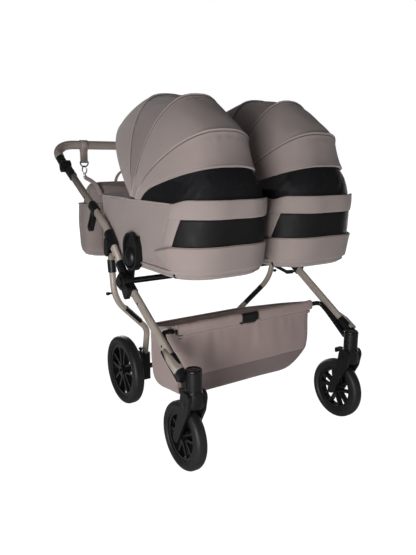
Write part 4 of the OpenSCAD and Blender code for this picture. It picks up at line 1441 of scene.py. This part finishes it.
def bag_handles():
    """Loop handle on the lid and the tails of the hanging straps; returns the seams to stitch"""
    web = [(-12, -1.4), (12, -1.4), (12.6, 0), (12, 1.4), (-12, 1.4), (-12.6, 0)]
    loop = smooth_path([at(x, BAR_Y - 40, z) for x, z in (
        (-118, 806), (-112, 838), (-84, 866), (-30, 876), (30, 876), (84, 866), (112, 838),
        (118, 806))])
    pieces = [rod("loop", loop, [(v, u) for u, v in web], "leather")]
    for k in (-1, 1):
        tail = smooth_path([at(k * x, BAR_Y - y, z) for x, y, z in (
            (238, 2, 843), (235, 14, 836), (228, 40, 827), (219, 68, 812), (211, 79, 792),
            (205, 84, 770))])
        pieces.append(rod("tail", tail, [(0.66 * u, 0.8 * v) for u, v in web], "cloth",
                          up=Vector((-k * 0.52, -0.35, 0.71))))
    worn(joined("bag_handles", pieces), "bag")
    return [[p + Vector((0, y, 0.0015)) for p in loop] for y in (-0.0108, 0.0108)]


# Strap below the bar: station behind it and height, and the swivel's heights and sizes
STRAP_DROP = ((3.2, -26), (2.2, -45), (1.8, -66), (1.6, -72))
SWIVEL = ((-111, 0.55), (-114, 0.9), (-118, 1.0), (-121, 0.7), (-124, 0.55), (-127, 1.0),
          (-131, 1.0))


def bag_straps():
    """Straps over the bar with their rings and snap hooks; returns the seams to stitch"""
    seams, straps, rings, hooks = [], [], [], []
    back = Vector((0, 1, 0))
    flat = [(-1.3, -15), (1.3, -15), (1.6, 0), (1.3, 15), (-1.3, 15), (-1.6, 0)]

    def over(x, r, reach, count):
        return [at(x, BAR_Y + r * sin(a), BAR_Z + r * cos(a)) for a in span(-reach, reach, count)]

    for k in (-1, 1):
        x = k * 237
        down = [at(x, BAR_Y + y, BAR_Z + z) for y, z in STRAP_DROP]
        rise = [at(x, BAR_Y - y, BAR_Z + z) for y, z in reversed(STRAP_DROP)]
        straps.append(rod("strap", rise + over(x, 18.9, 2.75, 40) + down, flat, "leather",
                          up=-back))
        for edge in (-12.5, 12.5):
            seams.append([at(x + edge, BAR_Y - 4.2, BAR_Z + z) for z in span(-30, -70, 12)])
            seams.append([p + Vector((edge / 1000, 0, 0)) for p in over(x, 20.3, 2.6, 30)])
        bow = [at(x + 17 * cos(a), BAR_Y, BAR_Z - 70 + 17 * min(0.15, sin(a)))
               for a in span(0, 2 * pi, 49)[:-1]]
        rings.append(rod("ring", bow, ring(2.7, 12), "dark_metal", closed=True, up=back))
        eye = [at(x + 9.5 * cos(a), BAR_Y + 1.5 * sin(a), BAR_Z - 99 + 15 * sin(a))
               for a in span(0, 2 * pi, 33)[:-1]]
        hooks.append(rod("eye", eye, ring(2.5, 12), "metal", closed=True, up=back))
        neck = [at(x, BAR_Y, BAR_Z + z) for z, _ in SWIVEL]
        hooks.append(rod("swivel", neck, ring(6.2, 14), "metal", up=back,
                         sizes=[size for _, size in SWIVEL]))
    worn(joined("bag_strap_loops", straps), "bag", "bag_straps")
    worn(joined("bag_ring_hooks", rings + hooks), "bag", "bag_rings")
    return seams


def bag_pieces():
    """Changing bag with pockets, lid, loop handle, hanging straps and hooks"""
    seams = bag_body() + bag_handles() + bag_straps()
    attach(stitches("bag_stitches", seams), "bag")


# Fork cover: height, half width, half depth and shift in y of each level
COVER_LEVELS = ((263, 26.5, 26.5, 0), (261, 28.4, 27.6, 0), (254, 29.8, 27.8, 0),
                (246, 32.0, 27.8, 0), (238, 33.2, 29.0, 1), (228, 33.8, 31.5, 3),
                (220, 33.6, 32.0, 4), (217, 31.5, 30.0, 4), (216.6, 12.0, 12.0, 4))
# Wheels: station across and along, radius, and width of the tread in metres
WHEELS = {"front": (322.0, 0.0, 105.0, 0.016), "rear": (265.0, 528.0, 129.0, 0.018)}


def wheel_pieces():
    """Tyre tread, and the flared covers over the front wheels"""
    for name, k in SIDES:
        piece = stacked(f"fork_cover_{name}", k * CASTER_X, CASTER_Y, COVER_LEVELS, "plastic")
        worn(piece, f"caster_{name}")
    blocks = bpy.context.scene.pram_sizes.tread_blocks
    tree = copies_tree("Tread", (("Count", "Int"), ("Radius", "Float"), ("Width", "Float")),
                       lay_tread)
    for end, (x, y, r, wide) in WHEELS.items():
        for name, k in SIDES:
            piece = grown(f"{end}_tread_{name}", tree, bpy.data.meshes.new("axle"), {
                "Count": blocks, "Radius": (r - 1.6) / 1000, "Width": wide,
                "Material": FINISH["rubber"]})
            middle = at(k * x, y, r)
            for vertex in piece.data.vertices:
                v = vertex.co
                vertex.co = (middle.x + v.z, middle.y + v.x, middle.z + v.y)
            soften(piece.data, False)
            worn(outward(piece), f"{end}_wheel_{name}")


# Operators


class PRAM_OT_finishes(bpy.types.Operator):
    """Make every cloth, metal, plastic and rubber finish"""

    bl_idname = "pram.finishes"
    bl_label = "Finishes"

    def execute(self, context):
        make_finishes()
        return {"FINISHED"}


class PRAM_OT_stage(bpy.types.Operator):
    """Set up the floor, lamps and camera"""

    bl_idname = "pram.stage"
    bl_label = "Stage"

    def execute(self, context):
        stage_pieces()
        return {"FINISHED"}


class PRAM_OT_rigid_parts(bpy.types.Operator):
    """Give the rigid parts their finishes"""

    bl_idname = "pram.rigid_parts"
    bl_label = "Rigid parts"

    def execute(self, context):
        paint_nodes()
        return {"FINISHED"}


class PRAM_OT_frame_tubes(bpy.types.Operator):
    """Make the smooth frame tubes with their rods, caps and rivets"""

    bl_idname = "pram.frame_tubes"
    bl_label = "Frame tubes"

    def execute(self, context):
        frame_tubes()
        return {"FINISHED"}


class PRAM_OT_carrycots(bpy.types.Operator):
    """Make both carrycot tubs with their panels, trim and covers"""

    bl_idname = "pram.carrycots"
    bl_label = "Carrycots"

    def execute(self, context):
        for name, k in SIDES:
            for work in (cot_tub, cot_panels, cot_trim, cot_cover):
                work(name, k)
        return {"FINISHED"}


class PRAM_OT_mattresses(bpy.types.Operator):
    """Make both mattresses"""

    bl_idname = "pram.mattresses"
    bl_label = "Mattresses"

    def execute(self, context):
        mattress_pieces()
        return {"FINISHED"}


class PRAM_OT_hoods(bpy.types.Operator):
    """Make both hoods with their nets"""

    bl_idname = "pram.hoods"
    bl_label = "Hoods"

    def execute(self, context):
        for name, k in SIDES:
            for work in (hood_head, hood_net, hood_mid, hood_brim):
                work(name, k)
        return {"FINISHED"}


class PRAM_OT_basket(bpy.types.Operator):
    """Make the shopping basket"""

    bl_idname = "pram.basket"
    bl_label = "Basket"

    def execute(self, context):
        basket_pieces()
        return {"FINISHED"}


class PRAM_OT_handle(bpy.types.Operator):
    """Make the padded handle grip"""

    bl_idname = "pram.handle"
    bl_label = "Handle"

    def execute(self, context):
        handle_pieces()
        return {"FINISHED"}


class PRAM_OT_bag(bpy.types.Operator):
    """Make the changing bag with its straps and hooks"""

    bl_idname = "pram.bag"
    bl_label = "Bag"

    def execute(self, context):
        bag_pieces()
        return {"FINISHED"}


class PRAM_OT_wheels(bpy.types.Operator):
    """Make the tyre tread and the fork covers"""

    bl_idname = "pram.wheels"
    bl_label = "Wheels"

    def execute(self, context):
        wheel_pieces()
        return {"FINISHED"}


OPERATORS = [PRAM_OT_finishes, PRAM_OT_stage, PRAM_OT_rigid_parts, PRAM_OT_frame_tubes,
             PRAM_OT_carrycots, PRAM_OT_mattresses, PRAM_OT_hoods, PRAM_OT_basket,
             PRAM_OT_handle, PRAM_OT_bag, PRAM_OT_wheels]


class PRAM_PT_build(bpy.types.Panel):
    """Lists the steps that dress the pram"""

    bl_idname = "PRAM_PT_build"
    bl_label = "Twin pram"
    bl_space_type = "VIEW_3D"
    bl_region_type = "UI"
    bl_category = "Pram"

    def draw(self, context):
        for group in (context.scene.pram_sizes, context.scene.pram_colours):
            for key in group.bl_rna.properties.keys():
                if key not in ("rna_type", "name"):
                    self.layout.prop(group, key)
        for made in OPERATORS:
            self.layout.operator(made.bl_idname)


CLASSES = [PramSizes, PramColours] + OPERATORS + [PRAM_PT_build]


def register():
    for made in CLASSES:
        bpy.utils.register_class(made)
    bpy.types.Scene.pram_sizes = PointerProperty(type=PramSizes)
    bpy.types.Scene.pram_colours = PointerProperty(type=PramColours)


def unregister():
    del bpy.types.Scene.pram_colours
    del bpy.types.Scene.pram_sizes
    for made in reversed(CLASSES):
        bpy.utils.unregister_class(made)


def main():
    register()
    for made in OPERATORS:
        getattr(bpy.ops.pram, made.bl_idname.split(".")[1])()


if __name__ == "__main__":
    main()
